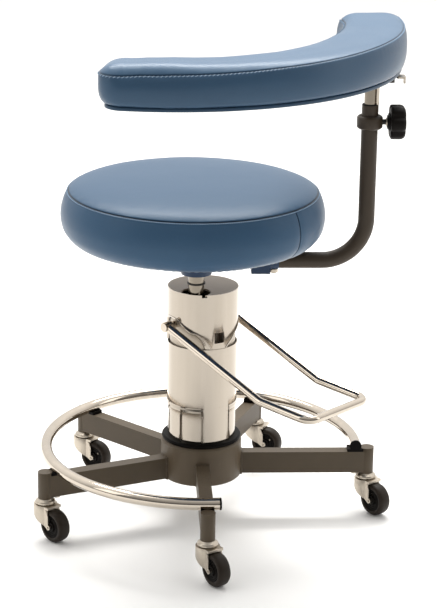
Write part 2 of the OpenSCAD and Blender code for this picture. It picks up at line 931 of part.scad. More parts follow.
module pump_pedal() {
  half_knee = (arm_slope - toe_slope) / 2;
  knee_cut = knee_r * tan(half_knee);
  first = pedal_arm - knee_cut;
  second = pedal_toe - knee_cut - corner_r;
  across = pedal_w - 2 * corner_r;
  bend = arm_slope - toe_slope;
  color(chrome)
    along_pedal()
      difference() {
        union() {
          difference() {
            translate([0, -pedal_w / 2, 0])
              rotate([0, arm_slope, 0])
                bent_bar([
                  [first, 90, bend, knee_r], [second, 0, 90, corner_r], [across, 0, 90, corner_r],
                  [second, 90, bend, knee_r], [first, 0, 0, 0]
                ], pedal_rod);
            for (side = [-1, 1], face = [-1, 1])
              translate([0, side * pedal_w / 2 + face * (eye_t / 2 + run_gap + pedal_rod / 2), 0])
                rotate([90, 0, 0])
                  cylinder(r = eye_r + loose, h = pedal_rod, center = true);
          }
          for (side = [-1, 1])
            translate([0, side * pedal_w / 2, 0])
              rotate([90, 0, 0])
                cylinder(r = eye_r, h = eye_t, center = true);
        }
        rotate([90, 0, 0])
          cylinder(d = shaft_d + 2 * run_gap, h = 2 * pedal_w, center = true);
      }
}

module pedal_shaft() {
  color(chrome)
    along_pedal()
      rotate([90, 0, 0]) {
        cylinder(d = shaft_d, h = shaft_l, center = true);
        for (side = [-1, 1])
          translate([0, 0, side * (shaft_l - shaft_head_h) / 2])
            cylinder(r = shaft_head_r, h = shaft_head_h, center = true);
        cylinder(r = rocker_drop, h = rocker_w, center = true);
        translate([plunger_arm, -rocker_drop + rocker_t / 2, 0])
          cylinder(d = rocker_t, h = rocker_w, center = true);
        translate([plunger_arm / 2, -rocker_drop + rocker_t / 2, 0])
          cube([plunger_arm, rocker_t, rocker_w], center = true);
      }
}

module seat_hub() {
  color([0.15, 0.2, 0.27])
    translate([ram_x, ram_y, 0])
      difference() {
        translate([0, 0, hub_low])
          cylinder(d = seat_hub_d, h = seat_hub_l);
        translate([0, 0, hub_low - over])
          cylinder(r = ram_r + run_gap, h = ram_tip - hub_low + over);
      }
}

module seat_plate() {
  hole = seat_plate_w * bolt_share;
  color([0.15, 0.2, 0.27])
    translate([ram_x, ram_y, hub_high])
      difference() {
        slab(seat_plate_w, seat_plate_w, seat_plate_t, plate_corner);
        for (x = [-1, 1], y = [-1, 1])
          translate([x * hole, y * hole, -over])
            cylinder(d = bolt_d + 2 * run_gap, h = seat_plate_t + 2 * over);
      }
}

module seat_bolts() {
  hole = seat_plate_w * bolt_share;
  color(chrome)
    translate([ram_x, ram_y, hub_high])
      for (x = [-1, 1], y = [-1, 1])
        translate([x * hole, y * hole, 0]) {
          bar(bolt_d, seat_plate_t + board_t);
          translate([0, 0, -bolt_head_h])
            cylinder(d = bolt_head, h = bolt_head_h, $fn = 6);
        }
}

module seat_board() {
  hole = seat_plate_w * bolt_share;
  color([0.12, 0.12, 0.13])
    difference() {
      translate([seat_x, seat_y, seat_base])
        cylinder(r = board_r, h = board_t);
      translate([ram_x, ram_y, seat_base - over])
        for (x = [-1, 1], y = [-1, 1])
          translate([x * hole, y * hole, 0])
            cylinder(d = bolt_d + 2 * run_gap, h = board_t + 2 * over);
    }
}

module seat_cushion() {
  color(vinyl)
    translate([seat_x, seat_y, seat_base])
      rotate_extrude()
        polygon(concat(
          [[0, board_t + run_gap], [board_r + run_gap, board_t + run_gap], [board_r + run_gap, 0]],
          [for (s = seat_share) [s[0] * seat_r, s[1] * seat_h]]
        ));
}

module tube_bracket() {
  low = tube_z - block_drop;
  color([0.15, 0.2, 0.27])
    difference() {
      union() {
        translate([block_x, tube_y - block_w / 2, low])
          cube([block_l, block_w, hub_high - low]);
        translate([block_x + block_l - over, tube_y, tube_z])
          rotate([0, 90, 0])
            bar(sleeve_d, sleeve_l + over);
      }
      translate([block_x - over, tube_y, tube_z])
        rotate([0, 90, 0])
          cylinder(d = tube_d + 2 * run_gap, h = block_l + sleeve_l + 2 * over);
      translate([block_x + block_l + sleeve_l / 2, tube_y, tube_z - sleeve_d])
        cylinder(d = clamp_pin + 2 * run_gap, h = sleeve_d);
    }
}

module clamp_screw() {
  low = tube_z - sleeve_d / 2 - 2 * run_gap - clamp_head_h;
  color(chrome)
    translate([block_x + block_l + sleeve_l / 2, tube_y, low]) {
      rotate_extrude()
        polygon([
          [0, 0], [clamp_head / 2 - clamp_edge, 0], [clamp_head / 2, clamp_edge],
          [clamp_head / 2, clamp_head_h], [0, clamp_head_h]
        ]);
      bar(clamp_pin, tube_z - tube_r - 2 * loose - low);
    }
}

module support_tube() {
  level = tube_reach - tube_start - tube_bend;
  rise = tube_top - tube_z - tube_bend;
  path = [[level, 90, 90, tube_bend], [rise, 0, 0, 0]];
  color(paint)
    translate([ram_x + tube_start, tube_y, tube_z])
      difference() {
        bent_bar(path, tube_d);
        bent_bar(path, tube_d - 2 * tube_wall);
        translate([tube_reach - tube_start, 0, knob_z - tube_z])
          rotate([0, 90, 0])
            cylinder(d = screw_d + 2 * run_gap, h = tube_d);
      }
}

module tube_collar() {
  r = collar_d / 2;
  color(paint)
    translate([tube_x, tube_y, collar_z])
      difference() {
        rotate_extrude()
          polygon([
            [0, 0], [r - collar_edge, 0], [r, collar_edge],
            [r, collar_h - collar_edge], [r - collar_edge, collar_h], [0, collar_h]
          ]);
        translate([0, 0, -over])
          cylinder(r = tube_r + run_gap, h = collar_h + 2 * over);
        translate([0, 0, collar_h / 2])
          rotate([0, 90, 0])
            cylinder(d = screw_d + 2 * run_gap, h = collar_d);
      }
}

module post_bush() {
  color(black)
    translate([tube_x, tube_y, 0])
      difference() {
        union() {
          translate([0, 0, tube_top - bush_l])
            cylinder(d = tube_d - 2 * tube_wall - 2 * run_gap, h = bush_l);
          translate([0, 0, tube_top])
            cylinder(d = tube_d - tube_wall, h = bush_head_h);
        }
        translate([0, 0, tube_top - bush_l - over])
          cylinder(d = post_d + 2 * run_gap, h = bush_l + bush_head_h + 2 * over);
        translate([0, 0, knob_z])
          rotate([0, 90, 0])
            cylinder(d = screw_d + 2 * run_gap, h = tube_d);
      }
}

module star_knob() {
  start = collar_d / 2 + knob_gap;
  r = knob_d / 2;
  color(black)
    translate([tube_x, tube_y, knob_z])
      rotate([0, 90, 0]) {
        translate([0, 0, screw_start])
          bar(screw_d, start + over - screw_start);
        translate([0, 0, start - washer_t])
          bar(washer_d, washer_t);
        translate([0, 0, start])
          bar(knob_hub_d, knob_hub_t + over);
        translate([0, 0, start + knob_hub_t])
          difference() {
            rotate_extrude()
              polygon([
                [0, 0], [r - knob_edge, 0], [r, knob_edge], [r, knob_t - 1.6 * knob_bevel],
                [r - 0.5 * knob_bevel, knob_t - 0.5 * knob_bevel],
                [r - 1.2 * knob_bevel, knob_t], [0, knob_t]
              ]);
            for (i = [0 : knob_lobes - 1])
              rotate([0, 0, i * 360 / knob_lobes])
                translate([r + flute_d / 5, 0, -over])
                  bar(flute_d, knob_t + 2 * over);
          }
      }
}

module pad_post() {
  color(chrome)
    translate([tube_x, tube_y, post_foot])
      bar(post_d, pad_base - post_roof - run_gap - post_foot);
}

module stop_rod() {
  low = tube_top + bush_head_h + loose;
  color(chrome)
    translate([tube_x, tube_y, low])
      rotate([0, 0, stop_angle])
        translate([stop_r, 0, 0])
          bar(stop_d, mount_hub_low - low);
}

module pad_mount() {
  color(black)
    translate([tube_x, tube_y, 0])
      difference() {
        union() {
          translate([0, 0, mount_low])
            slab(mount_plate_l, mount_plate_w, mount_plate_t, mount_corner);
          translate([0, 0, mount_hub_low])
            bar(mount_hub_d, mount_hub_h + over);
        }
        translate([0, 0, mount_hub_low - over])
          cylinder(d = post_d + 2 * run_gap, h = pad_base - post_roof - mount_hub_low + over);
        translate([lever_x, lever_y, mount_low - over])
          cylinder(d = lever_pin + 2 * run_gap, h = mount_plate_t);
        translate([lever_x - lever_w, lever_y - lever_room, lever_z - loose])
          cube([mount_plate_l, 2 * lever_room, lever_t + 2 * loose]);
      }
}

module lock_lever() {
  color(chrome)
    translate([tube_x + lever_x, tube_y + lever_y, lever_z]) {
      cylinder(d = lever_w, h = lever_t);
      translate([0, 0, mount_low + run_gap - lever_z])
        bar(lever_pin, lever_t + 2 * (lever_z - mount_low) - 2 * run_gap);
      translate([0, -lever_w / 2, 0])
        cube([lever_l - paddle_l, lever_w, lever_t]);
      translate([lever_l - paddle_l / 2, 0, 0])
        slab(paddle_l, paddle_w, lever_t, paddle_corner);
      translate([lever_l - lever_t, -paddle_w / 4, -tip_drop])
        cube([lever_t, paddle_w / 2, tip_drop + lever_t / 2]);
    }
}

// the pad's outline, anticlockwise from above
// each entry is [angle, distance from the curve's centre, outward angle]
pad_outline =
  let (
    n = pad_arc_steps,
    c = pad_corner_steps,
    out = pad_r + pad_flat,
    in = pad_r - pad_flat,
    turn = pad_to - pad_from
  )
  concat(
    [for (i = [0 : n]) let (a = pad_from + turn * i / n) [a, out, a]],
    [for (j = [1 : c]) [pad_to, out, pad_to + 90 * j / c]],
    [for (j = [0 : c]) [pad_to, in, pad_to + 90 + 90 * j / c]],
    [for (i = [n - 1 : -1 : 1]) let (a = pad_from + turn * i / n) [a, in, a + 180]],
    [for (j = [0 : c]) [pad_from, in, pad_from + 180 + 90 * j / c]],
    [for (j = [0 : c - 1]) [pad_from, out, pad_from + 270 + 90 * j / c]]
  );

function pad_ring(x) = [for (e = pad_outline)
  [e[1] * cos(e[0]) + x * cos(e[2]), e[1] * sin(e[0]) + x * sin(e[2])]];

module pad_board() {
  color(vinyl)
    translate([pad_x, pad_y, pad_base])
      linear_extrude(pad_board_t)
        polygon(pad_ring(pad_corner));
}

module pad_cushion() {
  n = pad_arc_steps;
  c = pad_corner_steps;
  count = len(pad_outline);
  top = (len(pad_share) - 1) * count;
  points = [for (s = pad_share, q = pad_ring(s[0] * (pad_corner + pad_bulge)))
    [q[0], q[1], s[1] * pad_h]];
  sides = [for (k = [0 : len(pad_share) - 2], i = [0 : count - 1])
    let (a = k * count + i, b = k * count + (i + 1) % count)
    [a, a + count, b + count, b]];
  facing = 2 * n + 2 * c + 1;
  first_end = concat([for (i = [facing : count - 1]) i], [0]);
  last_end = [for (i = [n : n + 2 * c + 1]) i];
  strip = [for (i = [0 : n - 1]) [i, i + 1, facing - i - 1, facing - i]];
  under = concat([first_end, last_end], strip);
  over_top = [for (f = under) [for (i = [len(f) - 1 : -1 : 0]) f[i] + top]];
  color(vinyl)
    translate([pad_x, pad_y, pad_seat])
      polyhedron(points = points, faces = concat(sides, under, over_top));
}

base_hub();
leg(0);  // leg_1
leg(1);  // leg_2
leg(2);  // leg_3
leg(3);  // leg_4
leg(4);  // leg_5
hub_seal();
foot_ring();
ring_plugs();
ring_saddles();
ring_screws();
castor_stem(0);  // castor_stem_1
castor_stem(1);  // castor_stem_2
castor_stem(2);  // castor_stem_3
castor_stem(3);  // castor_stem_4
castor_stem(4);  // castor_stem_5
castor_fork(0);  // castor_fork_1
castor_fork(1);  // castor_fork_2
castor_fork(2);  // castor_fork_3
castor_fork(3);  // castor_fork_4
castor_fork(4);  // castor_fork_5
castor_axle(0);  // castor_axle_1
castor_axle(1);  // castor_axle_2
castor_axle(2);  // castor_axle_3
castor_axle(3);  // castor_axle_4
castor_axle(4);  // castor_axle_5
castor_wheel(0);  // castor_wheel_1
castor_wheel(1);  // castor_wheel_2
castor_wheel(2);  // castor_wheel_3
castor_wheel(3);  // castor_wheel_4
castor_wheel(4);  // castor_wheel_5
pump_body();
column_skirt();
lower_sleeve();
upper_cover();
top_plate();
release_pin();
release_spring();
pump_plunger();
lift_ram();
ram_clip();
pump_pedal();
pedal_shaft();
seat_hub();
seat_plate();
seat_bolts();
seat_board();
seat_cushion();
tube_bracket();
clamp_screw();
support_tube();
tube_collar();
post_bush();
star_knob();
pad_post();
stop_rod();
pad_mount();
lock_lever();
pad_board();
pad_cushion();
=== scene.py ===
import json
import math
import bmesh
import bpy
from mathutils import Matrix, Vector, noise


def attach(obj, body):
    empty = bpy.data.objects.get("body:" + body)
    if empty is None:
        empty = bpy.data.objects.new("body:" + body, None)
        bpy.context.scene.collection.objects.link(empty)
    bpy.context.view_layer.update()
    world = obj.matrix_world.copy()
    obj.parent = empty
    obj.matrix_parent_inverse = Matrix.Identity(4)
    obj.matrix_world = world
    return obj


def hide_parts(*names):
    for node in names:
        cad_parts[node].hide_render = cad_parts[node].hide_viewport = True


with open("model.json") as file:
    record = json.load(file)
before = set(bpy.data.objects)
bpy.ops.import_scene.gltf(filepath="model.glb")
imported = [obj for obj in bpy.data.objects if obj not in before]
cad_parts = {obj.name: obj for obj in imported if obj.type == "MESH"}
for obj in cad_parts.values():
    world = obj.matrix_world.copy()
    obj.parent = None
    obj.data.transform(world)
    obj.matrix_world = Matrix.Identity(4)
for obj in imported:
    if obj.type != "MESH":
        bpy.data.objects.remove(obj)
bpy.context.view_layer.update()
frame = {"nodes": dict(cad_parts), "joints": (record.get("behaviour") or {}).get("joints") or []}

nodes = frame["nodes"]
mm = 0.001
print("frame loaded,", len(nodes), "nodes")


# shader wiring: sums on a Wire add Math nodes, and Shader.node makes any other node
class Wire:
    def __init__(self, shader, socket):
        self.shader = shader
        self.socket = socket

    def maths(self, operation, *terms):
        return self.shader.node("Math", {"operation": operation}, *terms)

    def __add__(self, other):
        return self.maths("ADD", self, other)

    def __radd__(self, other):
        return self.maths("ADD", other, self)

    def __sub__(self, other):
        return self.maths("SUBTRACT", self, other)

    def __rsub__(self, other):
        return self.maths("SUBTRACT", other, self)

    def __mul__(self, other):
        return self.maths("MULTIPLY", self, other)

    def __rmul__(self, other):
        return self.maths("MULTIPLY", other, self)


class Shader:
    def __init__(self, name, world=None):
        self.material = world or bpy.data.materials.new(name)
        self.material.use_nodes = True
        self.tree = self.material.node_tree
        self.bsdf = self.tree.nodes.get("Principled BSDF")
        self.place = self.node("TexCoord", {}, take="Generated" if world else "Object")

    def node(self, kind, settings, *inOrder, take=None, **byName):
        made = self.tree.nodes.new("ShaderNode" + kind)
        for key, value in settings.items():
            if key == "stops":
                self.setStops(made.color_ramp, value)
            else:
                setattr(made, key, value)
        sockets = [s for s in made.inputs if s.enabled]
        for socket, value in zip(sockets, inOrder):
            self.plug(socket, value)
        for socket in sockets:
            if socket.name in byName:
                self.plug(socket, byName[socket.name])
        shown = [s for s in made.outputs if s.enabled]
        return Wire(self, next((s for s in shown if s.name == take), shown[0]))

    def setStops(self, ramp, stops):
        while len(ramp.elements) < len(stops):
            ramp.elements.new(1)
        for element, (position, value) in zip(ramp.elements, stops):
            element.position = position
            element.color = (value, value, value, 1)

    def plug(self, socket, value):
        if isinstance(value, Wire):
            self.tree.links.new(value.socket, socket)
        else:
            socket.default_value = value

    def noise(self, size, detail=2, stretch=(1, 1, 1)):
        spot = self.node("Mapping", {}, Vector=self.place, Scale=stretch)
        return self.node("TexNoise", {}, Vector=spot, Scale=1 / size, Detail=detail)

    def cells(self, size, feature="DISTANCE_TO_EDGE"):
        return self.node("TexVoronoi", {"feature": feature}, Vector=self.place, Scale=1 / size)

    def ramp(self, value, *stops):
        return self.node("ValToRGB", {"stops": stops}, value)

    def mix(self, factor, first, second):
        return self.node("Mix", {"data_type": "RGBA"}, factor, first, second)

    def bump(self, height, strength, distance):
        return self.node("Bump", {}, Strength=strength, Distance=distance, Height=height)

    def surface(self, **values):
        for name, value in values.items():
            words = "".join(" " + c if c.isupper() else c for c in name).strip()
            self.plug(self.bsdf.inputs[words.replace("I O R", "IOR")], value)
        return self.material


def colour(red, green, blue):  # a colour as a picture shows it, 0 to 255
    def linear(c):
        c = c / 255
        return c / 12.92 if c < 0.04045 else ((c + 0.055) / 1.055) ** 2.4
    return (linear(red), linear(green), linear(blue), 1)


# upholstery vinyl: fine leather grain, soft mottling, and painted shade that darkens the seams
vinylLook = {
    # seam is the colour of the painted shade in the seams
    "light": colour(58, 85, 111), "dark": colour(49, 74, 99), "seam": colour(9, 14, 22),
    "grain": 0.9 * mm, "cloud": 70 * mm, "roughness": 0.34, "grainDepth": 0.10 * mm
}


# painted light: top paints the upward faces paler, and shade scales the whole colour lighter and darker
def makeVinyl(name, look, shine, shade, top):  # top is how much paler it is where it faces up
    s = Shader(name)
    cloud = s.noise(look["cloud"], 4)
    speck = s.noise(look["grain"] * 2.2, 3)
    grain = s.ramp(s.cells(look["grain"]), (0, 0), (0.22, 1))
    seamShadow = s.node("Attribute", {"attribute_name": "seam"}, take="Fac")
    dark, light, pale = (
        [c * shade * times for c in look[tone][:3]] + [1]
        for tone, times in (("dark", 1), ("light", 1), ("light", top))
    )
    base = s.mix(cloud * 0.75 + speck * 0.25, dark, light)
    # painted top light: paler where the surface faces up, as if lit from above
    facing = s.node("SeparateXYZ", {}, s.node("NewGeometry", {}, take="Normal"), take="Z")
    base = s.mix(s.ramp(facing, (0.35, 0), (0.95, 1)) * (0.8 + cloud * 0.3), base, pale)
    # painted shade: near-black in the seams, read from the seam attribute
    base = s.mix(seamShadow, base, look["seam"])
    height = grain * 0.7 + speck * 0.5
    return s.surface(
        BaseColor=base,
        Roughness=look["roughness"] - 0.05 + speck * 0.14 - cloud * 0.05,
        Normal=s.bump(height, 0.35, look["grainDepth"]),
        SpecularIORLevel=shine, SpecularTint=(0.88, 0.96, 1, 1)
    )


# one vinyl in lit and shaded copies: shade and top paint the light that the seat, the pad and the board get
vinyl = makeVinyl("vinyl", vinylLook, shine=0.16, shade=1.13, top=0.92)
padVinyl = makeVinyl("padVinyl", vinylLook, shine=0.3, shade=1.0, top=1.45)
boardVinyl = makeVinyl("boardVinyl", vinylLook, shine=0.3, shade=0.75, top=1.0)

# sewing thread, with the twist of its strands
threadLook = {"light": colour(146, 170, 194), "dark": colour(104, 130, 158), "twist": 0.45 * mm}
s = Shader("thread")
twist = s.node(
    "TexWave", {"bands_direction": "DIAGONAL"},
    Vector=s.place, Scale=1 / threadLook["twist"] / 6, Distortion=2
)
thread = s.surface(
    BaseColor=s.mix(twist, threadLook["dark"], threadLook["light"]), Roughness=0.55 + twist * 0.2,
    Normal=s.bump(twist, 0.4, 0.05 * mm)
)

# satin enamel with a little orange peel, and dust on what faces up
paintLook = {
    # the main, deep and hub colours are painted lighter than the tube's, painted light standing in for floor
    # bounce and fill
    "main": colour(86, 74, 58), "deep": colour(73, 63, 49), "dust": colour(100, 89, 73),
    "tubeMain": colour(64, 53, 41), "tubeDeep": colour(55, 46, 35),
    "hubLitMain": colour(97, 84, 67), "hubLitDeep": colour(84, 73, 58),
    "peel": 1.6 * mm, "patch": 45 * mm, "speckle": 2.6 * mm, "roughness": 0.46, "dusty": 0.45
}


def makePaint(name, main, deep):
    s = Shader(name)
    peel = s.noise(paintLook["peel"], 2)
    patch = s.noise(paintLook["patch"], 4)
    facing = s.node("SeparateXYZ", {}, s.node("NewGeometry", {}, take="Normal"), take="Z")
    upward = s.ramp(facing, (0.55, 0), (1, 1))
    speckle = s.ramp(s.noise(paintLook["speckle"], 5), (0.52, 0), (0.72, 1))
    coat = s.mix(patch, deep, main)
    return s.surface(
        BaseColor=s.mix(upward * speckle * paintLook["dusty"], coat, paintLook["dust"]),
        Roughness=paintLook["roughness"] + patch * 0.12 + upward * 0.08 - 0.04,
        Normal=s.bump(peel + speckle * 0.3, 0.25, 0.15 * mm), SpecularIORLevel=0.32
    )


# one enamel in three copies: the base's and the hub's are lighter, painted light for the floor's bounce and
# the fill under the seat
paint = makePaint("paint", paintLook["main"], paintLook["deep"])
tubePaint = makePaint("tubePaint", paintLook["tubeMain"], paintLook["tubeDeep"])
hubPaintLit = makePaint("hubPaintLit", paintLook["hubLitMain"], paintLook["hubLitDeep"])


# plated metal: a very slight waviness, hand smudges, and the spangle of zinc
plateLook = {"touch": 16 * mm, "fine": 2.2 * mm, "flake": 2.4 * mm, "wave": 24 * mm, "swell": 2 * mm}


def makePlate(name, tint, shade, roughness, smudge, stretch=(1, 1, 1), wave=0.02, spangle=0):
    s = Shader(name)
    touch = s.noise(plateLook["touch"], 4, stretch)
    fine = s.noise(plateLook["fine"], 3, stretch)
    base = s.mix(touch, shade, tint)
    rough = roughness + s.ramp(touch, (0.45, 0), (0.8, 1)) * smudge + fine * smudge * 0.4
    if spangle:
        flake = s.cells(plateLook["flake"], "F1")
        base = s.mix(flake * spangle, base, shade)
        rough = rough + flake * spangle * 0.2
    return s.surface(
        BaseColor=base, Metallic=1.0, Roughness=rough,
        Normal=s.bump(s.noise(plateLook["wave"], 2, stretch), wave, plateLook["swell"])
    )


drawn = (1, 1, 0.05)  # marks run up and down along a drawn tube or rod
chrome = makePlate("chrome", colour(206, 196, 183), colour(190, 180, 167), roughness=0.06, smudge=0.05)
tubeChrome = makePlate(
    "tubeChrome", colour(184, 175, 164), colour(168, 159, 147),
    roughness=0.09, smudge=0.05, stretch=drawn, wave=0.035
)
rodChrome = makePlate(
    "rodChrome", colour(150, 142, 130), colour(120, 112, 101),
    roughness=0.12, smudge=0.08, stretch=drawn, wave=0.05
)
zinc = makePlate(
    "zinc", colour(205, 195, 181), colour(170, 161, 148), roughness=0.24, smudge=0.12, spangle=0.3
)

# machined iron, with its turning marks, painted paler: painted light standing in for the light that reaches
# inside the cover
s = Shader("pumpIronLit")
ring = s.node("TexWave", {"bands_direction": "Z"}, Vector=s.place, Scale=120, Distortion=0.6)
mottle = s.noise(12 * mm, 4)
pumpIronLit = s.surface(
    BaseColor=s.mix(mottle, colour(166, 155, 141), colour(192, 181, 166)), Metallic=0.6,
    Roughness=0.30 + mottle * 0.15, Normal=s.bump(ring, 0.15, 0.1 * mm)
)

# the column's top plate: satin grey with faint brushing, painted lighter: painted light standing in for the
# light the seat's shadow takes away
s = Shader("topPlateLit")
brush = s.noise(3 * mm, 4, (0.12, 1, 1))
stain = s.noise(28 * mm, 3)
topPlateLit = s.surface(
    BaseColor=s.mix(stain * 0.6 + brush * 0.4, colour(198, 181, 161), colour(213, 197, 178)),
    Roughness=0.40 + brush * 0.15, Metallic=0.15, Normal=s.bump(brush, 0.2, 0.05 * mm)
)


# rubber, plastic and dark steel: size is the pores' size, grain and depth their relief
def makeDull(name, dark, light, size, depth, grain, roughness, shine=0.3):
    s = Shader(name)
    coarse = s.noise(size * 9, 4)
    pores = s.noise(size, 3)
    return s.surface(
        BaseColor=s.mix(coarse * 0.6 + pores * 0.4, dark, light),
        Roughness=roughness + coarse * 0.12 - pores * 0.06,
        Normal=s.bump(pores, grain, depth), SpecularIORLevel=shine
    )


tyreRubber = makeDull(
    "tyreRubber", colour(26, 20, 14), colour(46, 37, 28),
    size=1.4 * mm, depth=0.15 * mm, grain=0.35, roughness=0.46, shine=0.2
)
blackRubber = makeDull(
    "blackRubber", colour(9, 7, 6), colour(16, 13, 11),
    size=1.2 * mm, depth=0.15 * mm, grain=0.4, roughness=0.42, shine=0.06
)
blackPlastic = makeDull(
    "blackPlastic", colour(11, 8, 6), colour(21, 17, 13),
    size=0.9 * mm, depth=0.1 * mm, grain=0.3, roughness=0.5, shine=0.12
)
blackSteel = makeDull(
    "blackSteel", colour(26, 23, 20), colour(40, 36, 32),
    size=1.6 * mm, depth=0.12 * mm, grain=0.25, roughness=0.42
)
navySteel = makeDull(
    "navySteel", colour(26, 46, 72), colour(38, 62, 92),
    size=1.8 * mm, depth=0.12 * mm, grain=0.25, roughness=0.40
)

# black cloth stapled under the seat board
s = Shader("dustCloth")
warp = s.node("TexWave", {"bands_direction": "X"}, Vector=s.place, Scale=320)
weft = s.node("TexWave", {"bands_direction": "Y"}, Vector=s.place, Scale=320)
lint = s.noise(6 * mm, 5)
dustCloth = s.surface(
    BaseColor=s.mix(warp * weft * 0.6 + lint * 0.4, colour(20, 20, 22), colour(48, 48, 52)),
    Roughness=0.85, Normal=s.bump(warp + weft, 0.5, 0.2 * mm), SheenWeight=0.2
)
print("materials made")

# what each carried-over node wears
wears = {
    paint: ["leg_1", "leg_2", "leg_3", "leg_4", "leg_5"],
    hubPaintLit: ["base_hub"],
    tubePaint: ["support_tube", "tube_collar"],
    chrome: ["foot_ring", "pump_pedal", "pedal_shaft", "stop_rod", "pump_plunger"],
    rodChrome: ["lift_ram", "pad_post"],
    tubeChrome: ["column_skirt", "lower_sleeve", "upper_cover"],
    zinc: ["ring_screws", "release_pin", "release_spring", "seat_bolts", "clamp_screw", "lock_lever"]
    + [f"castor_{part}_{k}" for part in ("stem", "fork", "axle") for k in range(1, 6)],
    blackRubber: ["hub_seal", "ring_plugs", "ring_saddles"],
    tyreRubber: [f"castor_wheel_{k}" for k in range(1, 6)],
    pumpIronLit: ["pump_body"], topPlateLit: ["top_plate"], blackSteel: ["ram_clip", "pad_mount"],
    navySteel: ["seat_hub", "seat_plate", "tube_bracket"], dustCloth: ["seat_board"],
    vinyl: ["seat_cushion", "pad_cushion"], boardVinyl: ["pad_board"],
    blackPlastic: ["star_knob", "post_bush"]
}
for material, names in wears.items():
    for name in names:
        mesh = nodes[name].data
        mesh.materials.clear()
        mesh.materials.append(material)

# a fine round on the edges of the painted and pressed pieces
rounding = {
    "widths": {"base_hub": 0.8, "tube_bracket": 0.8, "tube_collar": 0.8, "seat_hub": 0.8, "pad_mount": 0.6},
    "leg": 1.2, "fork": 0.4, "merge": 0.02, "segments": 2, "angle": 40
}
for k in range(1, 6):
    rounding["widths"][f"leg_{k}"] = rounding["leg"]
    rounding["widths"][f"castor_fork_{k}"] = rounding["fork"]
for name, width in rounding["widths"].items():
    weld = nodes[name].modifiers.new("weld", "WELD")
    weld.merge_threshold = rounding["merge"] * mm
    bevel = nodes[name].modifiers.new("bevel", "BEVEL")
    bevel.width = width * mm
    bevel.segments = rounding["segments"]
    bevel.limit_method = "ANGLE"
    bevel.angle_limit = math.radians(rounding["angle"])
    bevel.harden_normals = True
print("nodes dressed")

# camera, placed from the photograph's own perspective
view = {
    "at": Vector((-138.6, -3175.9, 1351.9)) * mm, "towards": Vector((0.0486, 0.9515, -0.3038)),
    "across": Vector((0.9987, -0.0510, 0)), "roll": math.radians(0.883), "lens": 130.16, "sensor": 36
}
ahead = view["towards"].normalized()
across = view["across"].normalized()
above = across.cross(ahead).normalized()
turned = math.cos(view["roll"]) * across + math.sin(view["roll"]) * above
upright = math.cos(view["roll"]) * above - math.sin(view["roll"]) * across
stand = Matrix((turned, upright, -ahead)).transposed().to_4x4()
stand.translation = view["at"]
cameraData = bpy.data.cameras.new("camera")
cameraData.sensor_width = view["sensor"]
cameraData.lens = view["lens"]
camera = bpy.data.objects.new("camera", cameraData)
camera.matrix_world = stand
bpy.context.scene.collection.objects.link(camera)
bpy.context.scene.camera = camera

# soft studio: a pale room that is darker on the viewer's side, two lights overhead and two cards
studio = {
    "tint": (1.0, 0.985, 0.965, 1),
    "lamp": (1.0, 0.985, 0.96),
    "strength": 1.3,
    # how bright the room is from front to back
    "round": ((0, 0.04), (0.25, 0.10), (0.42, 0.33), (0.6, 0.66), (0.85, 0.85), (1, 0.72)),
    "high": ((0.5, 0), (0.9, 0.35)),  # how much the top of the room adds
    "backdrop": 1.0,  # how bright the room looks behind the object, from every side
    "lights": {
        "overhead": {"at": (0.1, 0.95, 2.9), "size": (2.6, 2.0), "power": 52},
        "backStrip": {"at": (0.0, 2.0, 3.0), "size": (2.6, 0.45), "power": 62},
        "leftCard": {"at": (-2.4, -0.9, 1.5), "size": (0.9, 1.8), "power": 7},
        "rightCard": {"at": (2.5, -0.5, 1.3), "size": (0.7, 1.8), "power": 6}
    },
    "aim": Vector((0, 0, 0.42))
}
for name, light in studio["lights"].items():
    data = bpy.data.lights.new(name, "AREA")
    data.shape = "RECTANGLE"
    data.size, data.size_y = light["size"]
    data.energy = light["power"]
    data.color = studio["lamp"]
    lamp = bpy.data.objects.new(name, data)
    lamp.location = light["at"]
    lamp.rotation_euler = (studio["aim"] - lamp.location).to_track_quat("-Z", "Y").to_euler()
    bpy.context.scene.collection.objects.link(lamp)
world = bpy.data.worlds.new("room")
s = Shader("room", world)
depth = s.node("SeparateXYZ", {}, s.place, take="Y")
height = s.node("SeparateXYZ", {}, s.place, take="Z")
glow = s.ramp(depth * 0.5 + 0.5, *studio["round"]) + s.ramp(height * 0.5 + 0.5, *studio["high"])
background = world.node_tree.nodes["Background"].inputs
s.plug(background["Color"], studio["tint"])
seen = s.node("LightPath", {}, take="Is Camera Ray")
s.plug(background["Strength"], (1 - seen) * glow * studio["strength"] + seen * studio["backdrop"])
bpy.context.scene.world = world
bpy.context.scene.view_settings.view_transform = "Standard"

floorLook = {
    "half": 14.0, "pale": colour(254, 254, 253), "worn": colour(251, 251, 250),
    "sweep": 900 * mm, "roughness": 0.7
}
half = floorLook["half"]
floorMesh = bpy.data.meshes.new("floor")
corners = [(-half, -half, 0), (half, -half, 0), (half, half, 0), (-half, half, 0)]
floorMesh.from_pydata(corners, [], [(0, 1, 2, 3)])
floor = bpy.data.objects.new("floor", floorMesh)
s = Shader("floorPaint")
sweep = s.noise(floorLook["sweep"], 3)
floorMesh.materials.append(s.surface(
    BaseColor=s.mix(sweep, floorLook["worn"], floorLook["pale"]), Roughness=floorLook["roughness"]
))
bpy.context.scene.collection.objects.link(floor)
print("studio set")


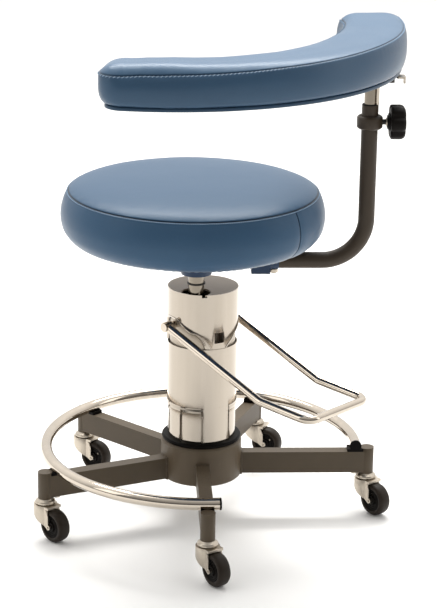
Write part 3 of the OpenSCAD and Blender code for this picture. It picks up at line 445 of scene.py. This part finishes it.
# mesh helpers, in millimetres until addPiece
def addPiece(name, points, faces, material, body, slot, replaced=(), crease=None):
    mesh = bpy.data.meshes.new(name)
    mesh.from_pydata([Vector(p) * mm for p in points], [], faces)
    mesh.materials.append(material)
    mesh.polygons.foreach_set("use_smooth", [True] * len(mesh.polygons))
    if crease:
        work = bmesh.new()
        work.from_mesh(mesh)
        bmesh.ops.recalc_face_normals(work, faces=work.faces)
        work.to_mesh(mesh)
        work.free()
        mesh.set_sharp_from_angle(angle=math.radians(crease))
    mesh.update()
    piece = bpy.data.objects.new(name, mesh)
    bpy.context.scene.collection.objects.link(piece)
    if replaced:
        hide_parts(*replaced)
    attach(piece, body)
    return piece


def gridFaces(rowCount, columnCount, first=0):  # quads between closed rows of points
    faces = []
    for row in range(rowCount - 1):
        for column in range(columnCount):
            a = first + row * columnCount + column
            b = first + row * columnCount + (column + 1) % columnCount
            faces.append((a, b, b + columnCount, a + columnCount))
    return faces


def smoothLine(corners, step):  # a spline through the corners, in even steps
    ends = [corners[0]] + list(corners) + [corners[-1]]
    fine = []
    for p0, p1, p2, p3 in zip(ends, ends[1:], ends[2:], ends[3:]):
        for i in range(12):
            t = i / 12
            fine.append([
                0.5 * (2 * b + (c - a) * t + (2 * a - 5 * b + 4 * c - d) * t * t
                       + (3 * b - a - 3 * c + d) * t ** 3)
                for a, b, c, d in zip(p0, p1, p2, p3)
            ])
    fine.append(list(corners[-1]))
    lengths = [0]
    for p, q in zip(fine, fine[1:]):
        lengths.append(lengths[-1] + math.dist(p, q))
    count = max(2, round(lengths[-1] / step))
    line, k = [], 0
    for i in range(count + 1):
        target = lengths[-1] * i / count
        while k < len(lengths) - 2 and lengths[k + 1] < target:
            k += 1
        span = lengths[k + 1] - lengths[k]
        t = (target - lengths[k]) / span if span else 0
        line.append([a + (b - a) * t for a, b in zip(fine[k], fine[k + 1])])
    return line


def hill(distance, width):
    return math.exp(-(distance / width) ** 2)


def between(value, table):  # straight-line reading of a table of pairs
    if value <= table[0][0]:
        return table[0][1]
    for (x0, y0), (x1, y1) in zip(table, table[1:]):
        if value <= x1:
            return y0 + (y1 - y0) * (value - x0) / (x1 - x0)
    return table[-1][1]


# rows of the cover from the board's edge up to the seam, over it and on to the middle:
# each row is [distance out, height, distance from the seam, which panel]
def panelRows(side, top, step):
    low = smoothLine(side, step)
    high = smoothLine(top, step)
    rows = []
    for line, panel in ((low, "side"), (high, "top")):
        run = [0]
        for p, q in zip(line, line[1:]):
            run.append(run[-1] + math.dist(p, q))
        for point, along in zip(line, run):
            away = run[-1] - along if panel == "side" else along
            rows.append([*point, away, panel])
    seam = len(low) - 1
    under, over = [], []
    for share in (0.22, 0.5, 0.78):  # extra rows close under and over the seam
        a, b = rows[seam - 1], rows[seam]
        spot = [a[0] + (b[0] - a[0]) * share, a[1] + (b[1] - a[1]) * share]
        under.append([*spot, a[2] * (1 - share), "side"])
        a, b = rows[seam + 1], rows[seam + 2]
        spot = [a[0] + (b[0] - a[0]) * share, a[1] + (b[1] - a[1]) * share]
        over.append([*spot, b[2] * share, "top"])
    return rows[:seam] + under + [rows[seam]] + over + rows[seam + 2:]


# how far the sewn cover stands in or out: sunk at the seam, puckered beside it, uneven over the foam
def coverPush(look, pucker, wave, past):
    push = -look["groove"] * hill(past, look["grooveWide"])
    push += look["pucker"] * pucker * math.exp(-past / look["puckerFade"])
    return push + look["wave"] * wave * min(1, past / look["waveFrom"])


def threadRow(spots, look):  # each spot is (point, along, outward); returns points and faces
    points, faces = [], []
    sides, shape = 6, ((-1, 0.25), (-0.72, 0.8), (0, 1), (0.72, 0.8), (1, 0.25))
    for spot, along, outward in spots:
        across = along.cross(outward).normalized()
        along = (along + across * look["slant"]).normalized()
        first = len(points)
        for u, fat in shape:
            middle = spot + along * (u * look["length"] / 2) + outward * look["rise"] * (1 - u * u)
            for k in range(sides):
                turn = 2 * math.pi * k / sides
                points.append(
                    middle + (across * math.cos(turn) + outward * math.sin(turn)) * look["radius"] * fat
                )
        faces += gridFaces(len(shape), sides, first)
        faces.append([first + k for k in reversed(range(sides))])
        faces.append([first + (len(shape) - 1) * sides + k for k in range(sides)])
    return points, faces


# the amounts are painted shade, darkest in the seams
def paintSeamShadow(piece, amounts):  # how deep in a seam each point lies, read by the vinyl
    layer = piece.data.attributes.new("seam", "FLOAT", "POINT")
    layer.data.foreach_set("value", amounts)


# the seat: a crowned top and a bulging band, sewn together, with one upright join in the band
seat = {
    "x": -18.046, "y": -34.984, "radius": 196, "base": 447, "height": 100, "boardRadius": 158.81,
    "boardDeep": 12.05, "stitches": 356, "below": 2.4, "joinAt": -40.0,
    "side": [
        (0.815, 0), (0.845, 0.02), (0.895, 0.058), (0.93, 0.105), (0.96, 0.17), (0.982, 0.24), (0.994, 0.325),
        (1.0, 0.415), (0.998, 0.50), (0.99, 0.59), (0.975, 0.685), (0.958, 0.755), (0.943, 0.802)
    ],
    "top": [
        (0.943, 0.802), (0.926, 0.822), (0.90, 0.845), (0.86, 0.872), (0.80, 0.900), (0.72, 0.928),
        (0.60, 0.955), (0.42, 0.980), (0.21, 0.995), (0.02, 1.0)
    ],
    "step": 3.2, "groove": 1.5, "grooveWide": 1.0, "pucker": 0.35, "puckerFade": 9,
    "wave": 0.5, "waveFrom": 12,
    # painted shade darkens the seams and the upright join; its widths are given here and on the next line
    "join": {"deep": 1.0, "wide": 0.8, "dip": 0.7, "dipWide": 8, "mark": 0.9, "beside": (0.12, 0.24, 0.4)},
    "mark": {"wide": 1.1, "haze": 0.12, "fade": 5}, "hole": {"deep": 0.3, "wide": 0.9},
    "gather": {"deep": 0.5, "folds": 92, "high": 4}, "clear": 0.1
}
thin = {"length": 2.4, "radius": 0.65, "rise": 0.4, "slant": 0.06, "sunk": 0.15}
thick = {"length": 4.2, "radius": 0.75, "rise": 0.4, "slant": -0.5, "sunk": 0.1}


def makeSeat():
    size, tall = seat["radius"], seat["height"]
    join, mark, hole, gather = seat["join"], seat["mark"], seat["hole"], seat["gather"]
    rows = panelRows(
        [(r * size, z * tall) for r, z in seat["side"]], [(r * size, z * tall) for r, z in seat["top"]],
        seat["step"]
    )
    count = 2 * seat["stitches"]
    turns = [360 * k / count for k in range(count)]
    joinAt = seat["joinAt"] % 360
    turns += [joinAt] + [joinAt + d for d in join["beside"]] + [joinAt - d for d in join["beside"]]
    turns = sorted(set(turns))
    points, seamShadows = [], []
    for index, (r, z, past, panel) in enumerate(rows):
        before, after = rows[max(0, index - 1)], rows[min(len(rows) - 1, index + 1)]
        outR, outZ = after[1] - before[1], before[0] - after[0]
        norm = math.hypot(outR, outZ) or 1
        outR, outZ = outR / norm, outZ / norm
        for turn in turns:
            angle = math.radians(turn)
            ring = Vector((math.cos(angle), math.sin(angle), 0)) * r
            crumple = noise.noise(Vector((ring.x / 9, ring.y / 9, z / 22)))
            slow = noise.noise(Vector((ring.x / 85, ring.y / 85, z / 60 + 7)))
            push = coverPush(seat, crumple, slow, past)
            # painted shade along the seam, fading beside it
            seamShadowAmount = hill(past, mark["wide"]) + mark["haze"] * math.exp(-past / mark["fade"])
            if panel == "side":
                off = (turn - joinAt + 180) % 360 - 180
                off = abs(math.radians(off)) * r
                push -= join["deep"] * hill(off, join["wide"]) + join["dip"] * hill(off, join["dipWide"])
                # painted shade down the upright join
                seamShadowAmount = max(seamShadowAmount, hill(off, join["mark"]))
                apart = abs((turn * count / 720) % 1 - 0.5) * 2  # nought at a stitch's middle
                push -= hole["deep"] * (1 - apart) * hill(past - seat["below"], hole["wide"])
                if z < gather["high"]:
                    push += gather["deep"] * math.cos(angle * gather["folds"]) * (1 - z / gather["high"])
            points.append((
                seat["x"] + ring.x + outR * push * math.cos(angle),
                seat["y"] + ring.y + outR * push * math.sin(angle),
                max(seat["base"] + seat["clear"], seat["base"] + z + outZ * push)
            ))
            seamShadows.append(min(1, seamShadowAmount))
    wide = len(turns)
    faces = gridFaces(len(rows), wide)
    last = (len(rows) - 1) * wide
    points.append((seat["x"], seat["y"], seat["base"] + tall + seat["clear"]))
    faces += [(last + k, last + (k + 1) % wide, len(points) - 1) for k in range(wide)]
    inner = len(points)
    for height in (seat["clear"], seat["boardDeep"]):  # the recess over the board
        for turn in turns:
            angle = math.radians(turn)
            points.append((
                seat["x"] + seat["boardRadius"] * math.cos(angle),
                seat["y"] + seat["boardRadius"] * math.sin(angle),
                seat["base"] + height
            ))
    faces += [(inner + k, inner + (k + 1) % wide, (k + 1) % wide, k) for k in range(wide)]
    faces += [
        (inner + wide + k, inner + wide + (k + 1) % wide, inner + (k + 1) % wide, inner + k)
        for k in range(wide)
    ]
    faces.append([inner + wide + k for k in reversed(range(wide))])
    seamShadows += [0] * (len(points) - len(seamShadows))
    piece = addPiece("seatCushion", points, faces, vinyl, "seat", "vinyl", ["seat_cushion"])
    paintSeamShadow(piece, seamShadows)
    # the topstitching runs just under the seam
    low = min((row for row in rows if row[3] == "side"), key=lambda row: abs(row[2] - seat["below"]))
    spots, out = [], low[0] - thin["sunk"]
    for k in range(seat["stitches"]):
        angle = math.radians(360 * k / seat["stitches"])
        outward = Vector((math.cos(angle) * 0.93, math.sin(angle) * 0.93, 0.36))
        along = Vector((-math.sin(angle), math.cos(angle), 0))
        spot = Vector((
            seat["x"] + out * math.cos(angle), seat["y"] + out * math.sin(angle), seat["base"] + low[1]
        ))
        spots.append((spot, along, outward))
    addPiece("seatStitching", *threadRow(spots, thin), thread, "seat", "vinyl")


makeSeat()
print("seat sewn")

# the curved pad: a band round the sides and a crowned top; the seam climbs towards the post's end
pad = {
    "x": -55.045, "y": 34.205, "radius": 303, "half": 14.5, "corner": 28, "bulge": 6.5,
    "from": -101.9, "to": 6.5, "base": 709.7, "height": 57, "arcs": 330, "turns": 18, "ends": 9,
    "side": [
        (0.74, 0), (0.745, 0.016), (0.82, 0.026), (0.89, 0.065), (0.945, 0.15), (0.985, 0.28), (1.0, 0.42),
        (0.99, 0.56), (0.955, 0.68), (0.90, 0.775), (0.855, 0.825), (0.82, 0.844)
    ],
    "top": [
        (0.82, 0.844), (0.77, 0.870), (0.69, 0.902), (0.58, 0.938), (0.40, 0.974), (0.19, 0.993), (0, 1.0)
    ],
    "step": 2.6, "groove": 1.1, "grooveWide": 0.9, "pucker": 0.35, "puckerFade": 8,
    "wave": 0.8, "waveFrom": 12,
    # painted shade along the seam: how dark, how wide, and its haze and fade
    "mark": {"deep": 0.45, "wide": 1.1, "haze": 0.1, "fade": 5}, "below": 1.7, "pitch": 5.8, "clear": 0.02,
    "climb": [
        (-102, -5.6), (-99.5, -4.9), (-97.6, -4.4), (-94.5, -4.3), (-91.4, -3.9), (-84, -2.2), (-78, -0.8),
        (-72, 0.6), (-66, 2), (-49, 4.4), (-38, 6.2), (-27, 7.5), (6, 8)
    ],
    "crown": [
        (-102, -0.5), (-97, 1.2), (-90, 1.6), (-84, 0.3), (-76, -0.4), (-66, -0.4), (-20, 0.8), (6, 1.5)
    ],
    "dome": [(-40, 0), (-12, 1.5), (6, 4)], "tipDrop": 1.0, "tipFade": 60, "squareTip": 0.95, "tipOut": 2.0,
    "squareTop": 0.975, "squareFrom": 0.42, "endFall": 1.0, "endFade": 55
}


def padColumns():  # round the pad: [core point, outward, sweep angle, which part]
    columns = []
    start, stop = pad["from"], pad["to"]
    count, turns, ends = pad["arcs"], pad["turns"], pad["ends"]

    def spot(sweep, radius):
        a = math.radians(sweep)
        return Vector((pad["x"] + radius * math.cos(a), pad["y"] + radius * math.sin(a), 0))

    outer, inner = pad["radius"] + pad["half"], pad["radius"] - pad["half"]
    for i in range(count + 1):
        sweep = start + (stop - start) * i / count
        columns.append((spot(sweep, outer), sweep, sweep, "arc"))
    columns += [(spot(stop, outer), stop + 90 * j / turns, stop, "corner") for j in range(1, turns + 1)]
    columns += [
        (spot(stop, outer).lerp(spot(stop, inner), j / (ends + 1)), stop + 90, stop, "end")
        for j in range(1, ends + 1)
    ]
    columns += [(spot(stop, inner), stop + 90 + 90 * j / turns, stop, "corner") for j in range(turns)]
    for i in range(count, -1, -1):
        sweep = start + (stop - start) * i / count
        columns.append((spot(sweep, inner), sweep + 180, sweep, "arc"))
    columns += [
        (spot(start, inner), start + 180 + 90 * j / turns, start, "corner") for j in range(1, turns + 1)
    ]
    columns += [
        (spot(start, inner).lerp(spot(start, outer), j / (ends + 1)), start + 270, start, "end")
        for j in range(1, ends + 1)
    ]
    columns += [(spot(start, outer), start + 270 + 90 * j / turns, start, "corner") for j in range(turns)]
    return columns


def padCap(columns, ring, heights, up):  # closes the middle from the ring of core points
    count, turns, ends = pad["arcs"], pad["turns"], pad["ends"]
    points, faces = [], []
    innerFirst = count + 2 * turns + ends  # the inner edge's first point, at the short end
    outside = [ring + i for i in range(count + 1)]
    inside = [ring + innerFirst + count - i for i in range(count + 1)]
    closeEnd = [ring + count + turns + j for j in range(1, ends + 1)]
    farEnd = [ring + innerFirst + count + turns + j for j in range(ends, 0, -1)]
    lines = []
    for i in range(count + 1):
        if i == 0:
            line = farEnd
        elif i == count:
            line = closeEnd
        else:
            a, b = columns[i][0], columns[innerFirst + count - i][0]
            line = []
            for j in range(1, ends + 1):
                line.append(ring + len(columns) + len(points))
                share = j / (ends + 1)
                points.append(a.lerp(b, share) + Vector((0, 0, heights(i, share))))
        lines.append([outside[i]] + line + [inside[i]])
    for first, second in zip(lines, lines[1:]):
        for j in range(ends + 1):
            face = (first[j], second[j], second[j + 1], first[j + 1])
            faces.append(face if not up else tuple(reversed(face)))
    return points, faces


def mergePoints(piece, reach):
    work = bmesh.new()
    work.from_mesh(piece.data)
    bmesh.ops.remove_doubles(work, verts=work.verts, dist=reach)
    bmesh.ops.recalc_face_normals(work, faces=work.faces)
    work.to_mesh(piece.data)
    work.free()
    piece.data.update()


def makePad():
    columns = padColumns()
    wide = len(columns)
    reach, tall = pad["corner"] + pad["bulge"], pad["height"]
    rows = panelRows(
        [(x * reach, z * tall) for x, z in pad["side"]], [(x * reach, z * tall) for x, z in pad["top"]],
        pad["step"]
    )
    seamOut, seamHigh = pad["side"][-1]
    mark = pad["mark"]
    points, seamShadows = [], []

    def lift(height, sweep, inwards, close=0):
        share = height / tall
        toSeam = min(1, max(0, (share - 0.25) / (seamHigh - 0.25)))
        toSeam = toSeam * toSeam * (3 - 2 * toSeam)
        if share > seamHigh:
            toSeam = 1 - 0.92 * (share - seamHigh) / (1 - seamHigh)
        tip = hill((sweep - pad["from"]) * math.radians(pad["radius"]), pad["tipFade"]) * max(0, inwards)
        return (
            between(sweep, pad["climb"]) * toSeam * (1 - pad["endFall"] * close)
            + between(sweep, pad["dome"]) * max(0, (share - seamHigh) / (1 - seamHigh))
            + (between(sweep, pad["crown"]) - pad["tipDrop"] * tip) * max(0, (share - 0.5) * 2)
        )

    def endness(heading, sweep, part):  # how far a column faces out of either end: tip, then post's end
        tip = max(0, math.cos(math.radians(heading - pad["from"] + 90))) if sweep == pad["from"] else 0
        close = max(0, math.cos(math.radians(heading - pad["to"] - 90))) if sweep == pad["to"] else 0
        inner = math.cos(math.radians(heading - sweep)) < -0.5
        if part == "arc" and inner:
            close = 0.5 * hill((pad["to"] - sweep) * math.radians(pad["radius"]), pad["endFade"])
        elif inner and sweep == pad["to"]:
            close = 0.5 + 0.5 * close
        return tip, close

    def inwardsOf(core):
        far = math.hypot(core.x - pad["x"], core.y - pad["y"])
        return (pad["radius"] + pad["half"] + reach - far) / (2 * (pad["half"] + reach))

    stitchRow = []
    low = min((row for row in rows if row[3] == "side"), key=lambda row: abs(row[2] - pad["below"]))
    for index, (x, z, past, panel) in enumerate(rows):
        before, after = rows[max(0, index - 1)], rows[min(len(rows) - 1, index + 1)]
        outX, outZ = after[1] - before[1], before[0] - after[0]
        norm = math.hypot(outX, outZ) or 1
        outX, outZ = outX / norm, outZ / norm
        for core, heading, sweep, part in columns:
            angle = math.radians(heading)
            outward = Vector((math.cos(angle), math.sin(angle), 0))
            tip, close = endness(heading, sweep, part)
            tip *= pad["squareTip"]
            if panel == "top":
                out = x * (1 + tip * (pad["squareTop"] / seamOut - 1))
            else:
                out = reach - (reach - x) * (1 - tip) if z > pad["squareFrom"] * tall else x
            flat = core + outward * (out + tip * pad["tipOut"] * min(1, z / 12, x / 15))
            crumple = noise.noise(flat / 8 + Vector((0, 0, z / 20)))
            slow = noise.noise(flat / 70 + Vector((0, 0, z / 50 + 3)))
            push = coverPush(pad, crumple, slow, past)
            if index == len(rows) - 1:
                push = pad["wave"] * slow
            if z < 0.5:
                push = 0
            spot = flat + outward * (outX * push)
            spot.z = pad["base"] + z + outZ * push + lift(z, sweep, inwardsOf(flat), close)
            points.append(spot)
            # painted shade along the seam, fading beside it
            seamShadowAmount = mark["deep"] * hill(past, mark["wide"]) + mark["haze"] * math.exp(-past / mark["fade"])
            seamShadows.append(min(1, seamShadowAmount))
            if (x, z, past, panel) == tuple(low):
                stitchRow.append((spot, outward))
    faces = gridFaces(len(rows), wide)
    top = (len(rows) - 1) * wide
    middle = pad["arcs"]

    def crownAt(i, share):
        sweep = columns[i][2]
        core = columns[i][0].lerp(columns[middle + 2 * pad["turns"] + pad["ends"] + middle - i][0], share)
        wave = pad["wave"] * noise.noise(core / 70 + Vector((0, 0, tall / 50 + 3)))
        return pad["base"] + tall + wave + lift(tall, sweep, inwardsOf(core))

    more, capFaces = padCap(columns, top, crownAt, True)
    points += more
    faces += capFaces
    seamShadows += [0] * len(more)
    # underneath it lies flat on its board
    low0 = len(points)
    under = pad["base"] + pad["clear"]
    points += [core + Vector((0, 0, under)) for core, *rest in columns]
    faces += [(k, low0 + k, low0 + (k + 1) % wide, (k + 1) % wide) for k in range(wide)]
    more, capFaces = padCap(columns, low0, lambda i, share: under, False)
    points += more
    faces += capFaces
    seamShadows += [0] * (len(points) - len(seamShadows))
    piece = addPiece("padCushion", points, faces, padVinyl, "pad", "vinyl", ["pad_cushion"])
    paintSeamShadow(piece, seamShadows)
    mergePoints(piece, 0.01 * mm)
    # even stitches round the row
    run = [0]
    loop = stitchRow + [stitchRow[0]]
    for (p, _), (q, _) in zip(loop, loop[1:]):
        run.append(run[-1] + (q - p).length)
    count = round(run[-1] / pad["pitch"])
    spots, k = [], 0
    for i in range(count):
        target = run[-1] * (i + 0.5) / count
        while run[k + 1] < target:
            k += 1
        (p, outP), (q, outQ) = loop[k], loop[k + 1]
        share = (target - run[k]) / (run[k + 1] - run[k])
        out = (outP.lerp(outQ, share).normalized() * 0.95 + Vector((0, 0, 0.3))).normalized()
        spots.append((p.lerp(q, share) - out * thick["sunk"], (q - p).normalized(), out))
    addPiece("padStitching", *threadRow(spots, thick), thread, "pad", "vinyl")


makePad()
print("pad sewn")

# the board under the pad, wrapped in the same vinyl and turned under
wrap = {
    "low": 704.42, "thick": 5.26, "recess": 0.5, "hem": 25.8, "fold": 0.12,
    "outline": [
        (26.0, 0), (27.2, 0.15), (27.9, 0.9), (28.0, 1.9), (28.0, 3.6), (27.7, 4.6), (26.8, 5.2)
    ]
}


def makeWrap():
    columns = padColumns()
    wide = len(columns)
    points, seamShadows = [], []
    low, high, hem = wrap["recess"], wrap["thick"], wrap["hem"]
    outline = [(0, low), (20, low), (hem, low)] + wrap["outline"] + [(24, high), (0, high)]
    for x, z in outline:
        for core, heading, sweep, part in columns:
            angle = math.radians(heading)
            spot = core + Vector((math.cos(angle), math.sin(angle), 0)) * x
            fold = wrap["fold"] * math.cos(sweep * 9 + heading * 0.7) if x > hem and z < 0.3 else 0
            points.append(spot + Vector((0, 0, wrap["low"] + z + max(0, fold))))
            # painted shadow along the hem, where the cushion's edge meets the board
            seamShadows.append(0.8 if x == hem else 0)
    faces = gridFaces(len(outline), wide)
    more, capFaces = padCap(columns, (len(outline) - 1) * wide, lambda i, share: wrap["low"] + high, True)
    points += more
    faces += capFaces
    low0 = len(points)
    points += [points[k].copy() for k in range(wide)]
    more, capFaces = padCap(columns, low0, lambda i, share: wrap["low"] + low, False)
    points += more
    faces += capFaces
    seamShadows += [0] * (len(points) - len(seamShadows))
    piece = addPiece("padBoard", points, faces, boardVinyl, "pad", "vinyl_board", ["pad_board"])
    paintSeamShadow(piece, seamShadows)
    mergePoints(piece, 0.01 * mm)


makeWrap()
print("pad board wrapped")


def latheAbout(profile, centre, axis, count=72):  # turns a closed outline of (radius, along) pairs
    axis = Vector(axis).normalized()
    side = axis.orthogonal().normalized()
    other = axis.cross(side)
    points = []
    for radius, along in profile:
        for k in range(count):
            turn = 2 * math.pi * k / count
            points.append(centre + axis * along + (side * math.cos(turn) + other * math.sin(turn)) * radius)
    faces = gridFaces(len(profile), count)
    last = (len(profile) - 1) * count
    faces += [(last + k, last + (k + 1) % count, (k + 1) % count, k) for k in range(count)]
    return points, faces


def mirrored(half):  # an outline and its mirror image across the middle
    return half + [(r, -along) for r, along in reversed(half)]


# the wheels: a soft tyre on a moulded centre with rings
wheel = {
    "tyre": [
        (16.8, -7.6), (17.2, -8.9), (17.8, -9.8), (19.2, -10.3), (21, -10.2), (22.7, -9.4), (24, -7.7),
        (24.65, -5), (24.93, -2.2)
    ],
    "centre": [
        (3.08, -10.45), (6.9, -10.45), (7.4, -10.1), (7.6, -8.4), (8.2, -7.5), (10.4, -7.2), (10.8, -7.8),
        (11.9, -7.8), (12.3, -7.2), (13.9, -7.1), (14.3, -7.6), (15.2, -7.6), (15.6, -7.2), (16.4, -7.6),
        (17.3, -8.6)
    ],
    "stud": [(0, -8.9), (0.9, -8.7), (1.5, -8.1), (1.6, -7.0), (0, -7.0)], "studOut": 11.3
}
places = {joint["name"]: joint for joint in frame["joints"]}
for k in range(1, 6):
    roll = places[f"castor_roll_{k}"]
    hub = Vector(roll["pos_m"]) / mm
    spin = Vector(roll["axis"]).normalized()
    body = f"wheel_{k}"
    addPiece(
        f"tyre_{k}", *latheAbout(mirrored(wheel["tyre"]), hub, spin), tyreRubber, body, "tyre",
        [f"castor_wheel_{k}"], crease=50
    )
    addPiece(
        f"wheelCentre_{k}", *latheAbout(mirrored(wheel["centre"]), hub, spin), blackPlastic, body, "tyre",
        crease=28
    )
    up = spin.orthogonal().normalized()
    for side in (-1, 1):
        spot = hub + up * wheel["studOut"]
        addPiece(
            f"wheelStud_{k}_{'left' if side < 0 else 'right'}",
            *latheAbout(wheel["stud"], spot, spin * side, 20), zinc, body, "zinc", crease=40
        )
print("wheels turned")

# the star knob: six soft lobes on a stepped boss, a bright washer and its black screw
knob = {
    "x": 239.954, "y": -34.984, "z": 629.75, "lobes": 6, "radius": 26, "flute": 4.0, "fluteWide": 11,
    "star": [
        (29.5, 0.3), (29.5, 0.80), (29.8, 0.90), (30.6, 0.965), (31.8, 0.99), (33.5, 1), (44, 1),
        (46.8, 0.985), (49, 0.945), (50.8, 0.88), (51.7, 0.78), (52, 0.62), (51.9, 0.4), (51.2, 0.26),
        (51.1, 0.02)
    ],
    "boss": [
        (4.2, 25.6), (9.2, 25.6), (10.4, 26.1), (10.9, 27.2), (13, 27.8), (13.8, 29), (13.9, 30.4),
        (4.2, 30.4)
    ],
    "washer": [(4.05, 23.6), (5.7, 23.6), (5.9, 23.8), (5.9, 25.3), (5.7, 25.5), (4.05, 25.5)],
    "screw": [(0, 9.6), (3.6, 9.6), (3.98, 10.1), (3.98, 27), (0, 27)]
}


def makeKnob():
    middle = Vector((knob["x"], knob["y"], knob["z"]))
    points, count = [], 144
    for along, share in knob["star"]:
        for k in range(count):
            turn = 360 * k / count
            off = (turn * knob["lobes"] / 360) % 1 - 0.5
            dip = knob["flute"] * hill(off * 360 / knob["lobes"], knob["fluteWide"]) * min(1, share * 1.3)
            radius = (knob["radius"] - dip) * share
            angle = math.radians(turn)
            points.append(middle + Vector((along, radius * math.cos(angle), radius * math.sin(angle))))
    faces = gridFaces(len(knob["star"]), count)
    last = (len(knob["star"]) - 1) * count
    faces.append([last + k for k in range(count)])
    faces.append(list(reversed(range(count))))
    addPiece("knobStar", points, faces, blackPlastic, "knob", "black_plastic", ["star_knob"], crease=60)
    for name, material, slot in (
        ("boss", blackPlastic, "black_plastic"), ("washer", zinc, "zinc"),
        ("screw", blackSteel, "black_steel")
    ):
        points, faces = latheAbout(knob[name], middle, (1, 0, 0), 48)
        addPiece("knob" + name.capitalize(), points, faces, material, "knob", slot, crease=35)


makeKnob()
print("knob made")

# weld beads where the legs meet the hub
weld = {
    "hub": 62.1, "wide": 10.2, "low": 65.9, "high": 100.3, "step": 1.3, "radius": 1.7, "legs": 67.5,
    "uneven": 0.7, "ripple": 0.22, "sides": 8
}


def makeWelds():
    points, faces = [], []
    wide, low, high, sides = weld["wide"], weld["low"], weld["high"], weld["sides"]
    route = [(-wide, low), (wide, low), (wide, high), (-wide, high)]
    for leg in range(5):
        turn = math.radians(leg * weld["legs"])
        line = []
        for (y0, z0), (y1, z1) in zip(route, route[1:] + route[:1]):
            count = round(math.dist((y0, z0), (y1, z1)) / weld["step"])
            line += [(y0 + (y1 - y0) * i / count, z0 + (z1 - z0) * i / count) for i in range(count)]
        first = len(points)
        for index, (y, z) in enumerate(line):
            bead = noise.noise(Vector((index * 0.31, leg * 5.0, 0.5)))
            fat = weld["radius"] + weld["uneven"] * bead + weld["ripple"] * math.cos(index * 2.2)
            swing = noise.noise(Vector((index * 0.2, leg * 3.0, 9.5)))
            x = math.sqrt(weld["hub"] ** 2 - y * y) + 0.3
            outY = (1 if y > 0 else -1) if abs(y) > wide - 0.1 else 0
            outZ = (1 if z > 80 else -1) if z in (low, high) else 0
            for k in range(sides):
                a = 2 * math.pi * k / sides
                reach = fat * math.cos(a)
                local = Vector((
                    x + fat * math.sin(a) * (1.15 + 0.3 * swing),
                    y + outY * reach * 0.8, z + outZ * reach * 0.8
                ))
                points.append(Vector((
                    local.x * math.cos(turn) - local.y * math.sin(turn),
                    local.x * math.sin(turn) + local.y * math.cos(turn), local.z
                )))
        faces += gridFaces(len(line), sides, first)
        last = first + (len(line) - 1) * sides
        faces += [
            (last + k, last + (k + 1) % sides, first + (k + 1) % sides, first + k) for k in range(sides)
        ]
    addPiece("weldBeads", points, faces, paint, "base", "paint", crease=80)


makeWelds()
print("welds laid")

# the flange turned inwards round each arch of the upper cover
arches = {
    "radius": 54, "foot": 282.5, "rise": 44.5, "step": 1.2, "sheet": 0.5,
    "rows": [
        (0, -1.1), (-0.15, -0.2), (0.15, 0.32), (0.7, 0.38), (1.6, 0.1), (2.8, -0.7), (4.0, -1.9), (4.9, -3.3)
    ],
    "left": {"turn": -148, "outline": [
        (-0.62, 0), (-0.60, 0.45), (-0.50, 0.80), (-0.34, 0.95), (-0.12, 1.0), (0.10, 0.99), (0.25, 0.925),
        (0.41, 0.77), (0.55, 0.645), (0.67, 0.58), (0.765, 0.53), (0.85, 0.395), (0.917, 0.19), (0.945, 0)
    ]},
    "right": {"turn": -8, "outline": [
        (-0.715, 0), (-0.70, 0.03), (-0.62, 0.16), (-0.51, 0.275), (-0.30, 0.485), (-0.05, 0.59),
        (0.08, 0.625), (0.25, 0.69), (0.42, 0.80), (0.60, 0.90), (0.75, 0.97)
    ]},
    "back": {"turn": 58, "outline": [
        (-0.55, 0), (-0.55, 0.78), (-0.42, 0.88), (-0.24, 0.96), (0, 1.0), (0.26, 0.97), (0.45, 0.84),
        (0.55, 0.60), (0.59, 0)
    ]}
}


def makeFlange(side):
    arch, radius = arches[side], arches["radius"]
    corners = [(u * radius, arches["foot"] + v * arches["rise"]) for u, v in arch["outline"]]
    line = smoothLine(corners, arches["step"])
    turn = math.radians(arch["turn"])
    points = []
    for index, (y, z) in enumerate(line):
        before, after = line[max(0, index - 2)], line[min(len(line) - 1, index + 2)]
        alongY, alongZ = after[0] - before[0], after[1] - before[1]
        length = math.hypot(alongY, alongZ) or 1
        inY, inZ = alongZ / length, -alongY / length  # towards the opening
        for inward, height in arches["rows"]:
            atY = max(-radius + 0.5, min(radius - 0.5, y + inY * inward))
            atZ = max(arches["foot"], z + inZ * inward)
            grow = (radius + height) / radius
            x = math.sqrt(radius ** 2 - atY ** 2) * grow
            atY *= grow
            points.append((
                x * math.cos(turn) - atY * math.sin(turn), x * math.sin(turn) + atY * math.cos(turn), atZ
            ))
    wide = len(arches["rows"])
    faces = [
        (i * wide + j, i * wide + j + 1, (i + 1) * wide + j + 1, (i + 1) * wide + j)
        for i in range(len(line) - 1) for j in range(wide - 1)
    ]
    piece = addPiece(side + "Flange", points, faces, tubeChrome, "base", "chrome")
    sheet = piece.modifiers.new("sheet", "SOLIDIFY")
    sheet.thickness = arches["sheet"] * mm
    sheet.offset = 0


for side in ("left", "right", "back"):
    makeFlange(side)
print("arches flanged")
